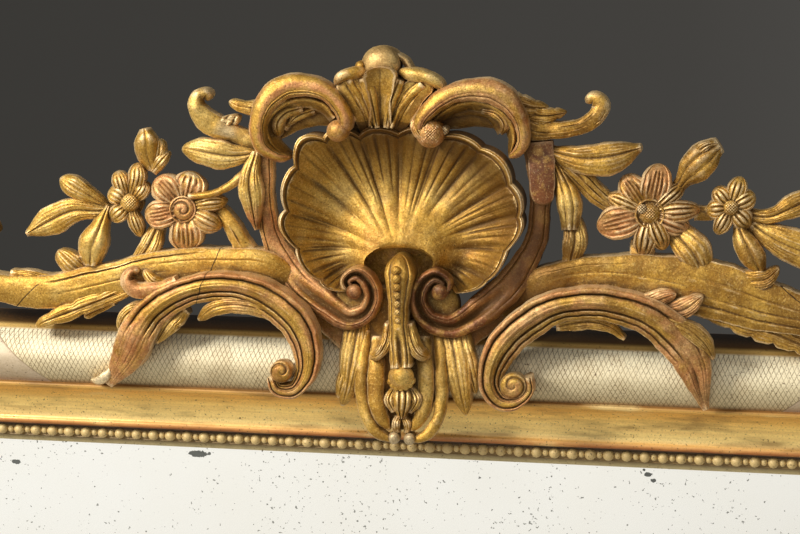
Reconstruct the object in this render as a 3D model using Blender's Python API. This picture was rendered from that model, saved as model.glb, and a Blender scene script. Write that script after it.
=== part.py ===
"""Wall mirror with a carved and gilt crest. Metres, +Z up, the front faces -Y, the wall is the plane Y = 0.
The origin is at the wall fixing, on the back face of the top rail."""

import bmesh
import bpy
import numpy as np
from mathutils import Vector

# Frame, metres
FRAME_WIDTH = 0.980
FRAME_HEIGHT = 1.410
CORNER_RADIUS = 0.110
FIXING_DROP = 0.046
REBATE_START = 0.088
GLASS_FRONT = 0.0110
GLASS_THICKNESS = 0.0040
BOARD_THICKNESS = 0.0055
GAP = 0.0003

# Moulding profile: distance in from the outer edge, height from the wall, millimetres
MOULDING = [
    (0, 0), (0, 14), (3, 20), (5.8, 26.5), (8.2, 28), (10.5, 33.5), (14, 38.8), (19, 43), (25, 45.6), (31, 45.2),
    (37, 42.8), (42, 39.4), (46, 36), (46.8, 38.3), (49.1, 38.6), (52.4, 33.6), (57.7, 29), (64.1, 25.6), (70.5, 23.4),
    (75.4, 23), (77.5, 24.6), (80.2, 24.4), (82.1, 20.5), (82.9, 17.3), (83.8, 17.3), (84.7, 19.9), (87.6, 21.1),
    (90.5, 19.9), (91.4, 17), (93.1, 15.6), (96.5, 13.6), (96.5, 11.2), (88, 11.2), (88, 0),
]
CORNER_STEPS = 5

# The crest was set out on a sheet of 800 by 534 units, seen from an eye point to the right of and above it
UNIT = 0.00070
SHEET_FOCUS = 2400.0
SHEET_MIDDLE = (400.0, 267.0)
EYE_AZIMUTH = np.radians(10.2)
EYE_HEIGHT = np.radians(10.2)
AIM = np.array([-0.0014, -0.046, 0.095])
OUTWARD = np.array(
    [np.sin(EYE_AZIMUTH) * np.cos(EYE_HEIGHT), -np.cos(EYE_AZIMUTH) * np.cos(EYE_HEIGHT), np.sin(EYE_HEIGHT)]
)
RIGHT = np.array([np.cos(EYE_AZIMUTH), np.sin(EYE_AZIMUTH), 0.0])
UP = np.cross(OUTWARD, RIGHT)
EYE = AIM + OUTWARD * SHEET_FOCUS * UNIT

# Crest, millimetres from the wall
CREST_BACK = 13.0
CREST_TRIANGLES = 7700
ACROSS = 7
SPACING = 15.0


def at(u, v, p):
    """Points of the sheet carried along the sight line to p millimetres from the wall."""
    u, v, p = np.broadcast_arrays(np.asarray(u, float), np.asarray(v, float), np.asarray(p, float))
    ray = -OUTWARD * SHEET_FOCUS + RIGHT * (u - SHEET_MIDDLE[0])[..., None] - UP * (v - SHEET_MIDDLE[1])[..., None]
    return EYE + ray * ((-p / 1000 - EYE[1]) / ray[..., 1])[..., None]


def pushed(u, v, p, depth):
    """Points of the sheet at p, then straight back towards the wall by depth millimetres."""
    out = at(u, v, p)
    out[..., 1] += np.asarray(depth, float) / 1000
    return out


def smooth(values, s):
    """A smooth curve through evenly spaced values, read at s from 0 to 1."""
    values = np.asarray(values, float)
    n = len(values) - 1
    if n == 0:
        return np.full_like(s, values[0])
    x = np.clip(s, 0, 1) * n
    i = np.minimum(x.astype(int), n - 1)
    t = x - i
    slope = np.gradient(values)
    a, b, da, db = values[i], values[i + 1], slope[i], slope[i + 1]
    return (2 * t**3 - 3 * t**2 + 1) * a + (t**3 - 2 * t**2 + t) * da + (3 * t**2 - 2 * t**3) * b + (t**3 - t**2) * db


def curve(points, n):
    """n points evenly along a smooth line through the given (u, v, p) points, with their sideways directions."""
    points = np.asarray(points, float)
    step = np.maximum(np.linalg.norm(np.diff(points[:, :2], axis=0), axis=1), 1e-6) ** 0.5
    knots = np.concatenate([[0], np.cumsum(step)])
    slopes = np.gradient(points, knots, axis=0)
    fine = np.linspace(0, knots[-1], 24 * len(points))
    i = np.clip(np.searchsorted(knots, fine, side="right") - 1, 0, len(points) - 2)
    h = (knots[i + 1] - knots[i])[:, None]
    t = (fine - knots[i])[:, None] / h
    line = (
        (2 * t**3 - 3 * t**2 + 1) * points[i]
        + (t**3 - 2 * t**2 + t) * h * slopes[i]
        + (3 * t**2 - 2 * t**3) * points[i + 1]
        + (t**3 - t**2) * h * slopes[i + 1]
    )
    along = np.concatenate([[0], np.cumsum(np.linalg.norm(np.diff(line[:, :2], axis=0), axis=1))])
    s = np.linspace(0, 1, n)
    out = np.stack([np.interp(s * along[-1], along, line[:, k]) for k in range(3)], axis=1)
    turn = np.gradient(out[:, :2], axis=0)
    turn /= np.maximum(np.linalg.norm(turn, axis=1), 1e-9)[:, None]
    return out, np.stack([-turn[:, 1], turn[:, 0]], axis=1), s


def curve_at(path, s):
    """The same line read at chosen shares of its length."""
    line, side, even = curve(path, 96)
    line = np.stack([np.interp(s, even, line[:, k]) for k in range(3)], axis=1)
    side = np.stack([np.interp(s, even, side[:, k]) for k in range(2)], axis=1)
    return line, side / np.linalg.norm(side, axis=1)[:, None]


def body(points, rings, name="piece"):
    """A closed mesh from rings of points, its two ends closed by fans."""
    n, m = rings
    points = points.reshape(-1, 3)
    faces = []
    for i in range(n - 1):
        for j in range(m):
            a, b = i * m + j, i * m + (j + 1) % m
            faces.append((a, b, b + m, a + m))
    first, last = points[:m].mean(axis=0), points[(n - 1) * m :].mean(axis=0)
    points = np.vstack([points, first, last])
    for j in range(m):
        faces.append((n * m, (j + 1) % m, j))
        faces.append((n * m + 1, (n - 1) * m + j, (n - 1) * m + (j + 1) % m))
    return solid(points, faces, name)


def solid(points, faces, name):
    mesh = bpy.data.meshes.new(name)
    mesh.from_pydata([tuple(p) for p in points], [], [tuple(f) for f in faces])
    work = bmesh.new()
    work.from_mesh(mesh)
    bmesh.ops.triangulate(work, faces=work.faces)
    if work.calc_volume(signed=True) < 0:
        bmesh.ops.reverse_faces(work, faces=work.faces)
    work.to_mesh(mesh)
    work.free()
    return mesh


def sweep(path, left, right, front, deep, blunt=(False, False), reach=0.22, m=None, name="piece"):
    """A carved member: half-widths left and right along it, a front section in millimetres over its line, a depth behind."""
    long = float(np.linalg.norm(np.diff(np.array(path, float)[:, :2], axis=0), axis=1).sum())
    wide = max(max(left), max(right))
    n = int(np.clip(round(4 + long / SPACING), 5, 26))
    m = m or (5 if wide < 8 else 7 if wide < 13 else ACROSS)
    line, side, s = curve(path, n)
    if any(blunt):
        bend = 0.5 - 0.5 * np.cos(np.pi * s)
        near = (s < 0.5) if blunt[0] and not blunt[1] else (s > 0.5) if blunt[1] and not blunt[0] else s >= 0
        s = np.where(near, 0.5 * s + 0.5 * bend, s)
        line, side = curve_at(path, s)
    end = np.ones(n)
    if blunt[0]:
        end *= np.sqrt(np.clip(1 - np.clip(1 - s / reach, 0, 0.97) ** 2, 0.04, 1))
    if blunt[1]:
        end *= np.sqrt(np.clip(1 - np.clip(1 - (1 - s) / reach, 0, 0.97) ** 2, 0.04, 1))
    left, right = smooth(left, s) * end, smooth(right, s) * end
    left, right = np.maximum(left, 0.5), np.maximum(right, 0.5)
    x = np.linspace(-1, 1, m)
    front_x = np.concatenate([x, x[::-1]])
    rings = []
    for i in range(n):
        reach_x = np.where(front_x < 0, left[i], right[i])
        u = line[i, 0] + side[i, 0] * front_x * reach_x
        v = line[i, 1] + side[i, 1] * front_x * reach_x
        top = line[i, 2] + front(x, s[i]) * end[i]
        depth = deep if np.isscalar(deep) else float(smooth(deep, np.array([s[i]]))[0])
        depth = depth * (0.35 + 0.65 * np.sqrt(1 - 0.92 * x**2)) * (0.3 + 0.7 * end[i])
        rings.append(pushed(u, v, np.concatenate([top, top[::-1] * 0 + line[i, 2]]), np.concatenate([x * 0, depth[::-1]])))
    return body(np.array(rings), (n, 2 * m), name)


def dome(height, ribs=0, cut=0.0):
    """A rounded front, with grooves between its ribs where there are any."""
    return lambda x, s: height * np.sqrt(1 - 0.85 * x**2) - cut * (0.5 - 0.5 * np.cos(ribs * np.pi * (x + 1))) * (
        1 if ribs else 0
    )


def folded(height, dip):
    """A leaf: raised sides that fall to a midrib groove."""
    return lambda x, s: height * np.cos(x * np.pi / 2) ** 0.6 - dip * np.exp(-((x / 0.22) ** 2))


def dished(edge, middle):
    """A petal: a raised rim round a hollow."""
    return lambda x, s: middle + (edge - middle) * x**2


def scroll(roll, full, lip):
    """A C-scroll: an outer roll, a quirk, a full body and an inner lip that steps down. Its leg swells to one rounded form."""

    def front(x, s):
        fade = np.sin(np.pi * min(max(s, 0.03), 0.97)) ** 0.4
        out = roll * np.sqrt(np.clip(1 - ((x + 0.80) / 0.26) ** 2, 0, 1))
        out = out + full * np.clip(1 - ((x + 0.10) / 0.48) ** 2, 0, 1) ** 0.5
        out = out + lip * np.sqrt(np.clip(1 - ((x - 0.68) / 0.30) ** 2, 0, 1)) - 4.0 * np.clip(x, 0, 1)
        leg = min(max((0.25 - s) / 0.12, 0.0), 1.0)
        return (out * (1 - leg) + 7.0 * np.sqrt(1 - 0.88 * x**2) * leg) * fade

    return front


def button(u, v, p, profile, n=12, name="piece"):
    """A turned boss on the sheet: rings of (radius in units, height in millimetres over p) from its back to its middle."""
    angle = np.linspace(0, 2 * np.pi, n, endpoint=False)
    rings = [
        pushed(u + max(r, 0.3) * np.cos(angle), v + max(r, 0.3) * np.sin(angle), p + max(h, 0), max(-h, 0)) for r, h in profile
    ]
    return body(np.array(rings), (len(profile), n), name)


def ball(u, v, p, r, high, deep=12.0, n=12):
    return button(u, v, p, [(r * 0.7, -deep), (r, -deep * 0.3), (r, 0), (r * 0.8, high * 0.62), (r * 0.42, high * 0.92), (0.3, high)], n)


def leaf(path, left, right=None, high=3.5, dip=2.0, deep=9.0, blunt=(False, False), reach=0.22):
    return sweep(path, left, right or left, folded(high, dip), deep, blunt, reach, 5 if max(left) < 8 else 7)


def petal(path, width, high=3.2, deep=8.0):
    return sweep(path, width, width, lambda x, s: high * (1 - 0.75 * np.abs(x) ** 2.6), deep, (False, True), 0.3, 5)


def bud(path, width, high=8.0, deep=8.0):
    return sweep(path, width, width, dome(high, 2, 1.6), deep, (False, False), 0.22, 7)


def shell():
    """A scallop bowl: ribs fan out from an arched mouth to a scalloped rim that stands forward."""
    hub = (399.0, 263.0)
    start, stop = np.radians(-118.0), np.radians(118.0)
    rim = [64, 86, 104, 127, 142, 158, 147, 137, 137, 141, 145, 142, 132, 108, 92, 66]
    lobes, columns, steps = 14, 57, 7
    share = np.linspace(0, 1, columns)
    lobe = np.abs(np.sin(np.pi * lobes * share))
    reach = smooth(rim, share) * (1.008 - (0.050 - 0.024 * np.clip((share - 0.45) * 6, 0, 1)) * (1 - lobe))
    theta = start + (stop - start) * share
    mouth = 1 / np.sqrt((np.sin(0.82 * theta) / 34.0) ** 2 + (np.cos(0.82 * theta) / 15.5) ** 2)
    front, back = [], []
    for k in np.array([0.0, 0.18, 0.38, 0.58, 0.76, 0.9, 1.0])[:steps]:
        r = mouth + (reach - mouth) * k
        turn = theta * (0.82 + 0.18 * min(k / 0.97, 1) ** 0.8)
        u, v = hub[0] + r * np.sin(turn), hub[1] - r * np.cos(turn)
        bowl = 24 + 20 * np.exp(-((k / 0.34) ** 2)) + (31 - 9 * np.exp(-((theta / 0.55) ** 2))) * k**3.0
        ridge = 4.0 * (lobe - 0.6) * np.clip((k - 0.15) / 0.45, 0, 1)
        front.append(at(u, v, bowl + ridge))
        back.append(pushed(u, v, bowl, np.minimum(9.5 + 9.0 * k, bowl - 14.0)))
    front, back = np.array(front), np.array(back)
    ring = np.concatenate([front, back[::-1]], axis=0)
    return body(ring.transpose(1, 0, 2), (columns, 2 * steps), "shell")


def both_halves():
    """Everything that the crest is carved with, as closed shapes that run into each other."""
    made = [shell()]
    add = made.append

    # Web of the board behind the volutes, pendant and lower scrolls
    add(sweep([(400, 288, 34), (400, 310, 36), (400, 345, 46), (400, 382, 50)], [34, 46, 58, 44], [34, 46, 58, 44], dome(2), [17, 20, 30, 28]))
    add(sweep([(300, 292, 30), (330, 318, 34), (355, 340, 44)], [10, 14, 14], [10, 16, 16], dome(2), [16, 20, 26]))
    add(sweep([(505, 300, 30), (480, 322, 34), (450, 344, 44)], [12, 16, 16], [10, 14, 14], dome(2), [16, 20, 26]))
    add(sweep([(256, 140, 30), (300, 122, 32), (345, 108, 36), (400, 100, 40), (450, 108, 36), (500, 122, 32), (545, 140, 30)], [12, 8, 18, 30, 18, 8, 12], [12, 8, 22, 34, 22, 8, 12], dome(2), 16))

    # Finial: hood over an acanthus fan
    add(sweep([(382, 45, 50), (382, 52, 58), (382, 61, 63), (381, 70, 64), (381, 78, 60)], [10, 16, 20, 20, 15], [10, 17, 22, 22, 16], dome(8), 34, blunt=(True, False), reach=0.4))
    add(ball(370, 69, 58, 6, 6, 10))
    add(ball(382, 71, 60, 8, 6, 10))
    add(ball(394, 70, 58, 7, 6, 10))
    add(ball(366, 64, 56, 7, 6, 18))
    add(ball(401, 66, 56, 8, 6, 18))
    add(sweep([(366, 70, 52), (352, 74, 58), (340, 78, 60), (335, 86, 56)], [6, 7, 6, 3], [5, 6, 6, 3], dome(5), 22, blunt=(True, True), reach=0.2))
    add(sweep([(400, 72, 52), (414, 74, 58), (430, 78, 60), (441, 88, 57), (442, 98, 54)], [5, 7, 6, 5, 3], [6, 8, 7, 5, 3], dome(5), 22, blunt=(True, True), reach=0.2))
    add(sweep([(381, 68, 60), (380, 95, 60), (380, 128, 55)], [10, 9, 11], [10, 9, 11], dished(3, -2), 30))
    add(sweep([(372, 134, 50), (364, 110, 54), (353, 92, 57), (344, 80, 58)], [7, 12, 16, 13], [7, 12, 15, 13], dome(3.4), 22, blunt=(False, True), reach=0.15))
    add(leaf([(372, 132, 54), (360, 104, 58), (344, 84, 60)], [2, 4, 5], [2, 4, 5], 3, 1.2, 20, blunt=(False, True)))
    add(leaf([(376, 130, 54), (371, 100, 59), (360, 77, 63)], [4, 6, 7, 5], None, 3, 1.5, 24))
    add(sweep([(391, 134, 50), (402, 110, 54), (414, 94, 57), (428, 83, 58)], [7, 12, 14, 12], [7, 12, 13, 12], dome(3.4), 22, blunt=(False, True), reach=0.15))
    add(leaf([(391, 132, 54), (404, 104, 58), (426, 86, 60)], [2, 4, 5], [2, 4, 5], 3, 1.2, 20, blunt=(False, True)))
    add(leaf([(387, 130, 54), (393, 100, 59), (404, 78, 63)], [4, 6, 7, 5], None, 3, 1.5, 24))

    # Upper C-scrolls with their inner lips and end curls
    add(sweep([(291, 158, 50), (275, 156, 54), (262, 146, 57), (258, 130, 59), (261, 111, 60), (271, 97, 60), (287, 87, 60), (305, 86, 60), (322, 91, 60), (336, 103, 60), (344, 118, 60), (344, 133, 58)], [4, 6, 8, 9, 11, 13, 12, 10, 9, 8, 8], [3, 5, 7, 8, 10, 12, 11, 9, 8, 7, 6], dome(7.5), 20, blunt=(True, True), reach=0.06))
    add(sweep([(284, 150, 48), (272, 141, 50), (268, 128, 51), (274, 115, 52), (288, 105, 52), (306, 102, 52), (322, 107, 52), (333, 119, 51)], [4, 5, 5, 6, 6, 6, 5, 4], [4, 5, 6, 6, 6, 6, 6, 4], dome(4), 20))
    add(leaf([(300, 108, 46), (284, 114, 48), (275, 126, 48), (277, 137, 45)], [5, 6, 6, 3], [5, 5, 5, 3], 3, 1.2, 16, blunt=(False, True)))
    add(leaf([(312, 108, 44), (294, 116, 46), (286, 126, 44)], [5, 6, 3], None, 3, 1.2, 16, blunt=(False, True)))
    add(sweep([(283, 128, 38), (296, 114, 40), (316, 108, 40), (334, 118, 40)], [7, 9, 9, 6], [5, 4, 4, 4], dome(2), 16))
    add(ball(337.5, 131, 58, 11, 10, 18))
    add(sweep([(509, 158, 50), (519, 151, 54), (523, 137, 57), (520, 119, 59), (509, 103, 60), (492, 92, 60), (471, 90, 60), (450, 95, 60), (433, 106, 60), (421, 120, 60), (417, 134, 58)], [4, 6, 7, 9, 12, 12, 11, 10, 9, 8, 6], [4, 6, 7, 9, 12, 12, 11, 10, 9, 8, 6], dome(7.5), 20, blunt=(True, True), reach=0.06))
    add(sweep([(507, 148, 48), (511, 136, 50), (507, 122, 51), (494, 110, 52), (474, 105, 52), (454, 109, 52), (438, 119, 51), (428, 130, 50)], [4, 5, 6, 6, 6, 6, 5, 4], [4, 5, 5, 6, 6, 6, 5, 4], dome(4), 20))
    add(leaf([(482, 110, 47), (496, 114, 50), (504, 124, 50), (502, 135, 46)], [5, 5, 6, 3], [4, 5, 5, 3], 3, 1.2, 16, blunt=(False, True)))
    add(sweep([(502, 132, 38), (490, 116, 40), (468, 110, 40), (446, 116, 40)], [5, 5, 5, 4], [6, 8, 8, 6], dome(2), 16))
    add(ball(430, 134, 58, 14, 10, 18))
    add(leaf([(420, 112, 56), (416, 126, 61), (424, 140, 62)], [5, 6, 5], None, 4, 1.2, 16, blunt=(True, True)))
    add(sweep([(262, 136, 46), (246, 131, 48), (230, 126, 50), (214, 118, 52), (202, 108, 54), (198, 97, 55), (205, 92, 53), (212, 98, 50)], [13, 10, 8, 10, 13, 12, 9, 5], [10, 8, 8, 9, 11, 10, 8, 5], dome(6), 18, blunt=(False, True), reach=0.06))
    add(leaf([(272, 112, 46), (252, 108, 49), (239, 106, 49), (229, 101, 47)], [12, 9, 6, 4], [12, 9, 5, 4], 4, 1.2, 16, blunt=(False, True)))
    add(sweep([(522, 126, 46), (545, 131, 48), (566, 130, 50), (584, 125, 51), (597, 116, 52), (601, 105, 52), (593, 98, 51), (586, 103, 49)], [20, 14, 11, 10, 10, 11, 9, 5], [14, 12, 10, 10, 10, 11, 9, 5], dome(6), 18, blunt=(False, True), reach=0.06))
    add(leaf([(486, 94, 50), (510, 103, 52), (532, 108, 50), (548, 108, 46)], [8, 11, 10, 4], [9, 14, 12, 3], 4, 1.5, 18, blunt=(False, True)))
    add(leaf([(524, 112, 48), (544, 116, 50), (566, 113, 45)], [7, 8, 3], [9, 9, 3], 4, 1.5, 18, blunt=(False, True)))

    # Straps that carry the scrolls, ending in the volutes under the shell
    add(ball(358, 302, 44, 23, 6, 16))
    add(ball(436, 306, 42, 24, 5, 16))
    add(ball(354, 291.5, 52, 8, 8, 14))
    add(ball(439.5, 292, 52, 8.5, 8, 14))
    add(button(399, 276, 16, [(46, -3), (47, 0), (40, 1.5), (0.3, 2)]))
    add(sweep([(262, 150, 46), (264, 178, 46), (265, 206, 43), (270, 233, 39), (282, 261, 38), (301, 286, 42), (327, 306, 48), (350, 319, 51), (366, 312, 52), (372, 297, 53), (367, 281, 54), (355, 274, 54), (346, 281, 53), (350, 290, 52)], [11, 9, 9, 10, 13, 15, 15, 13, 10, 9, 7, 6], [9, 8, 8, 9, 11, 13, 14, 13, 10, 9, 7, 6], dome(4), 18, blunt=(False, True), reach=0.02))
    add(sweep([(538, 150, 46), (540, 180, 47), (540, 205, 46), (536, 238, 43), (523, 266, 42), (503, 292, 44), (477, 313, 48), (450, 327, 51), (428, 320, 52), (418, 303, 53), (422, 285, 54), (435, 276, 54), (446, 283, 53), (442, 293, 52)], [14, 12, 10, 11, 13, 16, 16, 13, 10, 9, 7, 6], [14, 12, 10, 11, 13, 16, 16, 13, 10, 9, 7, 6], dome(4), 18, blunt=(False, True), reach=0.02))
    add(sweep([(539, 142, 48), (541, 165, 50.5), (542, 186, 51), (543, 206, 49.5)], [13, 14, 13, 9], [13, 13, 12, 9], dome(2.2), 10, blunt=(False, True), reach=0.12))

    # Lower C-scrolls over the frame
    left_scroll = [(108, 385, 48), (119, 370, 53), (129, 352, 57), (137, 334, 60), (151, 313, 61), (174, 297, 62), (202, 288, 63), (233, 287, 63), (262, 296, 63), (284, 311, 64), (300, 331, 65), (307, 354, 66), (304, 377, 66), (293, 391, 66), (278, 390, 66), (271, 377, 65)]
    add(sweep(left_scroll, [4, 16, 18, 15, 14, 13, 14, 16, 16, 12, 8, 5], [4, 16, 18, 16, 15, 14, 15, 17, 16, 12, 8, 5], scroll(4.2, 5, 2.5), [6, 12, 20, 26, 26, 24, 22, 20, 19]))
    add(ball(281, 371.5, 63, 11, 8, 14))
    add(sweep([(111, 366, 50), (107, 375, 52), (99, 380, 51), (91, 380, 47)], [2, 5, 5, 1], [2, 5, 4, 1], dome(3), 8))
    add(leaf([(146, 308, 55), (133, 310, 59), (123, 319, 59), (119, 330, 56)], [5, 7, 7, 4], [5, 7, 7, 4], 3, 1.2, 18, blunt=(True, True)))
    add(leaf([(142, 330, 50), (139, 352, 53), (122, 374, 49)], [8, 10, 4], [8, 8, 3], 4, 1.5, 14))
    right_scroll = [(706, 410, 49), (701, 393, 53), (696, 373, 56), (686, 352, 58), (667, 331, 61), (640, 314, 62), (611, 306, 62), (583, 304, 62), (554, 309, 63), (529, 322, 64), (507, 341, 65), (494, 362, 66), (490, 385, 66), (500, 401, 66), (516, 402, 66), (528, 391, 66), (527, 378, 65)]
    add(sweep(right_scroll, [3, 15, 20, 18, 17, 16, 16, 18, 17, 13, 9, 6], [3, 15, 21, 19, 17, 16, 16, 17, 16, 12, 8, 5], lambda x, s: scroll(4.2, 5, 2.5)(-x, s), [6, 12, 20, 26, 26, 24, 22, 20, 19]))
    add(ball(513, 386, 63, 13, 8, 14))
    add(leaf([(662, 319, 60), (686, 328, 62), (704, 343, 61), (714, 359, 57)], [4, 7, 8, 2], [5, 8, 8, 2], 3, 1.2, 18, blunt=(True, False)))
    add(leaf([(292, 330, 52), (266, 312, 56), (238, 305, 58), (214, 308, 57), (198, 320, 52)], [4, 7, 8, 9, 6], [3, 5, 6, 7, 6], 4, 1.2, 16, blunt=(False, True)))
    add(leaf([(556, 326, 50), (590, 322, 52), (612, 328, 50), (625, 339, 46)], [5, 8, 7, 2], [5, 8, 7, 2], 3, 1.2, 12))
    add(leaf([(184, 308, 50), (168, 324, 53), (156, 343, 48)], [9, 11, 3], [7, 9, 3], 4, 1.2, 14))
    add(leaf([(160, 318, 50), (148, 334, 52), (144, 350, 48)], [8, 8, 3], [6, 7, 3], 3, 1.2, 12))
    add(sweep([(176, 283, 60), (152, 290, 60), (134, 290, 59), (126, 281, 58), (130, 272, 56), (140, 270, 54)], [6, 7, 8, 7, 5, 3], [6, 7, 8, 7, 5, 3], dome(4.5), 18, blunt=(False, True), reach=0.06))
    add(leaf([(166, 284, 56), (152, 281, 59), (144, 270, 56)], [4, 5, 3], [4, 5, 3], 2, 1.2, 12, blunt=(False, True)))
    add(leaf([(640, 306, 54), (655, 302, 56), (676, 294, 56)], [9, 11, 5], [7, 7, 4], 3, 1.2, 18, blunt=(False, True)))
    add(leaf([(664, 314, 54), (684, 310, 56), (703, 296, 56)], [9, 12, 6], [7, 9, 5], 3, 1.2, 18, blunt=(False, True)))

    # Long acanthus rails that run out to both ends and turn up
    add(sweep([(300, 284, 40), (262, 266, 43), (225, 264, 44), (185, 266, 45), (140, 272, 46), (95, 283, 46), (50, 292, 45), (0, 288, 44), (-34, 278, 44), (-52, 256, 44), (-43, 233, 44), (-22, 224, 44), (-3, 233, 43)], [14, 18, 19, 20, 18, 18, 15, 12, 9, 5], [12, 15, 16, 18, 16, 18, 15, 12, 9, 5], dome(6.5, 3, 1.2), 26, blunt=(False, True), reach=0.04))
    add(leaf([(138, 284, 45), (104, 299, 48), (70, 312, 49), (44, 322, 49), (36, 327, 46)], [7, 8, 8, 8, 7], [8, 11, 10, 9, 7], 4, 1.6, 24, blunt=(False, True)))
    add(leaf([(112, 300, 40), (84, 317, 38)], [6, 5], None, 2, 1.2, 14, blunt=(False, True)))
    add(leaf([(52, 284, 45), (30, 278, 46), (10, 274, 45)], [5, 5, 3], [9, 8, 4], 2, 1.2, 16))
    add(sweep([(512, 298, 40), (545, 279, 43), (590, 271, 44), (640, 273, 45), (690, 283, 46), (735, 296, 46), (780, 310, 45), (832, 318, 44), (872, 300, 44), (886, 268, 44), (868, 244, 44), (846, 236, 44), (829, 247, 43)], [12, 13, 14, 20, 27, 24, 18, 13, 10, 6], [14, 18, 20, 26, 30, 26, 18, 13, 10, 6], dome(6.5, 3, 1.2), 26, blunt=(False, True), reach=0.04))
    add(leaf([(700, 306, 44), (745, 322, 44), (790, 340, 42), (828, 358, 38)], [10, 14, 12, 3], [10, 14, 12, 3], 3, 1.5, 20))
    add(leaf([(738, 280, 46), (765, 280, 50), (779, 268, 48)], [8, 10, 5], [8, 9, 5], 3, 1.2, 18, blunt=(False, True)))

    # Pendant over the frame: tongue, bell flower, bud and the border that hangs round them
    add(sweep([(400, 254, 50), (399, 272, 57), (398, 300, 60), (398, 330, 62), (400, 352, 64), (401, 368, 66)], [9, 15, 12, 10, 9, 11, 11], [9, 14, 11, 10, 9, 11, 11], dome(7.5), 28, blunt=(True, False), reach=0.1))
    add(button(401, 377, 60, [(9, -12), (12, -2), (13, 4), (12, 9), (8, 13), (3, 14.5), (0.3, 15)]))
    add(bud([(402, 386, 58), (402, 398, 64), (402, 408, 64), (402, 419, 58)], [6, 9, 8, 3], 6, 12))
    add(leaf([(394, 388, 58), (389, 400, 63), (394, 412, 62)], [3, 5, 2], None, 3, 1.2, 10))
    add(leaf([(411, 388, 58), (417, 400, 63), (410, 413, 62)], [3, 5, 2], None, 3, 1.2, 10))
    add(leaf([(399, 416, 58), (396, 424, 61), (397, 433, 58)], [3, 4, 3], None, 3, 1.2, 10))
    add(leaf([(403, 416, 58), (407, 424, 61), (407, 433, 58)], [3, 4, 3], None, 3, 1.2, 10))
    add(sweep([(377, 336, 42), (376, 366, 55), (376, 398, 59), (380, 416, 60), (390, 430, 60)], [7, 8, 8, 8, 5], [7, 8, 8, 8, 5], dome(4.5), 14, blunt=(False, True)))
    add(sweep([(424, 336, 42), (425, 366, 55), (425, 398, 59), (421, 416, 60), (411, 431, 60)], [7, 8, 8, 8, 5], [7, 8, 8, 8, 5], dome(4.5), 14, blunt=(False, True)))
    add(sweep([(366, 330, 42), (362, 364, 54), (362, 400, 57), (368, 421, 59), (380, 435, 60), (394, 441, 60)], [5, 6, 6, 6, 6, 4], [5, 6, 6, 6, 6, 4], dome(4.5), 14, blunt=(False, True)))
    add(sweep([(438, 330, 42), (441, 364, 54), (441, 400, 57), (436, 422, 59), (424, 437, 60), (409, 442, 60)], [5, 6, 6, 6, 6, 4], [5, 6, 6, 6, 6, 4], dome(4.5), 14, blunt=(False, True)))
    add(sweep([(401, 350, 48), (401, 392, 52), (401, 430, 52)], [34, 34, 16], [34, 34, 16], dome(1), [12, 14, 16], blunt=(False, True)))
    add(ball(394, 438, 60, 6, 6, 10))
    add(ball(409.5, 439, 60, 6, 6, 10))
    add(leaf([(389, 324, 60), (386, 342, 64), (378, 355, 65), (369, 358, 60)], [4, 6, 6, 4], [4, 6, 6, 4], 4, 1.2, 18, blunt=(False, True)))
    add(leaf([(408, 324, 60), (412, 342, 64), (420, 355, 65), (430, 358, 60)], [4, 6, 6, 4], [4, 6, 6, 4], 4, 1.2, 18, blunt=(False, True)))

    # acanthus either side of the pendant
    add(leaf([(360, 312, 38), (356, 338, 46), (351, 366, 53), (347, 388, 53), (342, 406, 50)], [10, 13, 14, 10, 7], [12, 14, 13, 9, 7], 5, 1.2, 20, blunt=(False, True)))
    add(leaf([(352, 360, 50), (343, 382, 54), (338, 398, 52)], [7, 7, 4], [7, 7, 4], 4, 1.2, 16, blunt=(False, True)))
    add(leaf([(446, 314, 38), (452, 342, 46), (457, 370, 53), (461, 394, 53), (466, 416, 49)], [12, 15, 15, 11, 6], [12, 14, 14, 10, 6], 5, 1.2, 20, blunt=(False, True)))
    add(leaf([(460, 330, 42), (468, 364, 52), (476, 394, 48)], [9, 9, 4], [9, 8, 4], 4, 1.2, 16, blunt=(False, True)))
    add(ball(183, 211, 36, 22, 3, 10))
    add(petal([(180, 209, 42), (162, 214, 47), (145, 217, 44)], [8, 14, 13]))
    add(petal([(184, 214, 42), (186, 232, 47), (187, 251, 43)], [10, 17, 16]))
    add(petal([(188, 212, 42), (205, 221, 47), (221, 228, 43)], [7, 11, 9]))
    add(petal([(189, 207, 42), (208, 203, 46), (227, 201, 42)], [6, 9, 8]))
    add(petal([(185, 203, 42), (189, 188, 46), (193, 172, 43)], [9, 17, 15]))
    add(petal([(179, 204, 42), (168, 191, 47), (156, 178, 43)], [9, 15, 13]))
    add(button(182.5, 209.5, 42, [(10, -16), (14, 0), (14.5, 5), (12.5, 8), (9.5, 4), (6, 3), (3.5, 7), (0.3, 8)]))
    add(ball(182.5, 210, 46, 12, 5, 14))
    add(sweep([(188, 197, 50), (206, 195, 50), (226, 188, 49), (244, 174, 47), (258, 156, 44)], [3, 3.5, 4, 5, 7], [3, 3.5, 4, 5, 7], dome(4), 12))
    add(ball(129, 202, 36, 15, 2, 10))
    add(petal([(126, 203, 40), (118, 196, 45), (108, 192, 42)], [6, 10, 9]))
    add(petal([(127, 200, 40), (121, 185, 45), (117, 171, 42)], [5, 8, 8]))
    add(petal([(130, 199, 40), (136, 181, 45), (138, 163, 42)], [5, 9, 9]))
    add(petal([(133, 200, 40), (141, 192, 45), (146, 182, 42)], [5, 8, 7]))
    add(petal([(127, 206, 40), (119, 213, 45), (111, 220, 42)], [6, 9, 8]))
    add(petal([(131, 207, 40), (135, 222, 45), (141, 237, 42)], [5, 7, 6]))
    add(ball(129.4, 202.5, 44, 9.7, 8, 18))
    add(bud([(152, 170, 38), (148, 153, 44), (145, 137, 46), (144, 129, 42)], [5, 11, 12, 5], 8, 10))
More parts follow.
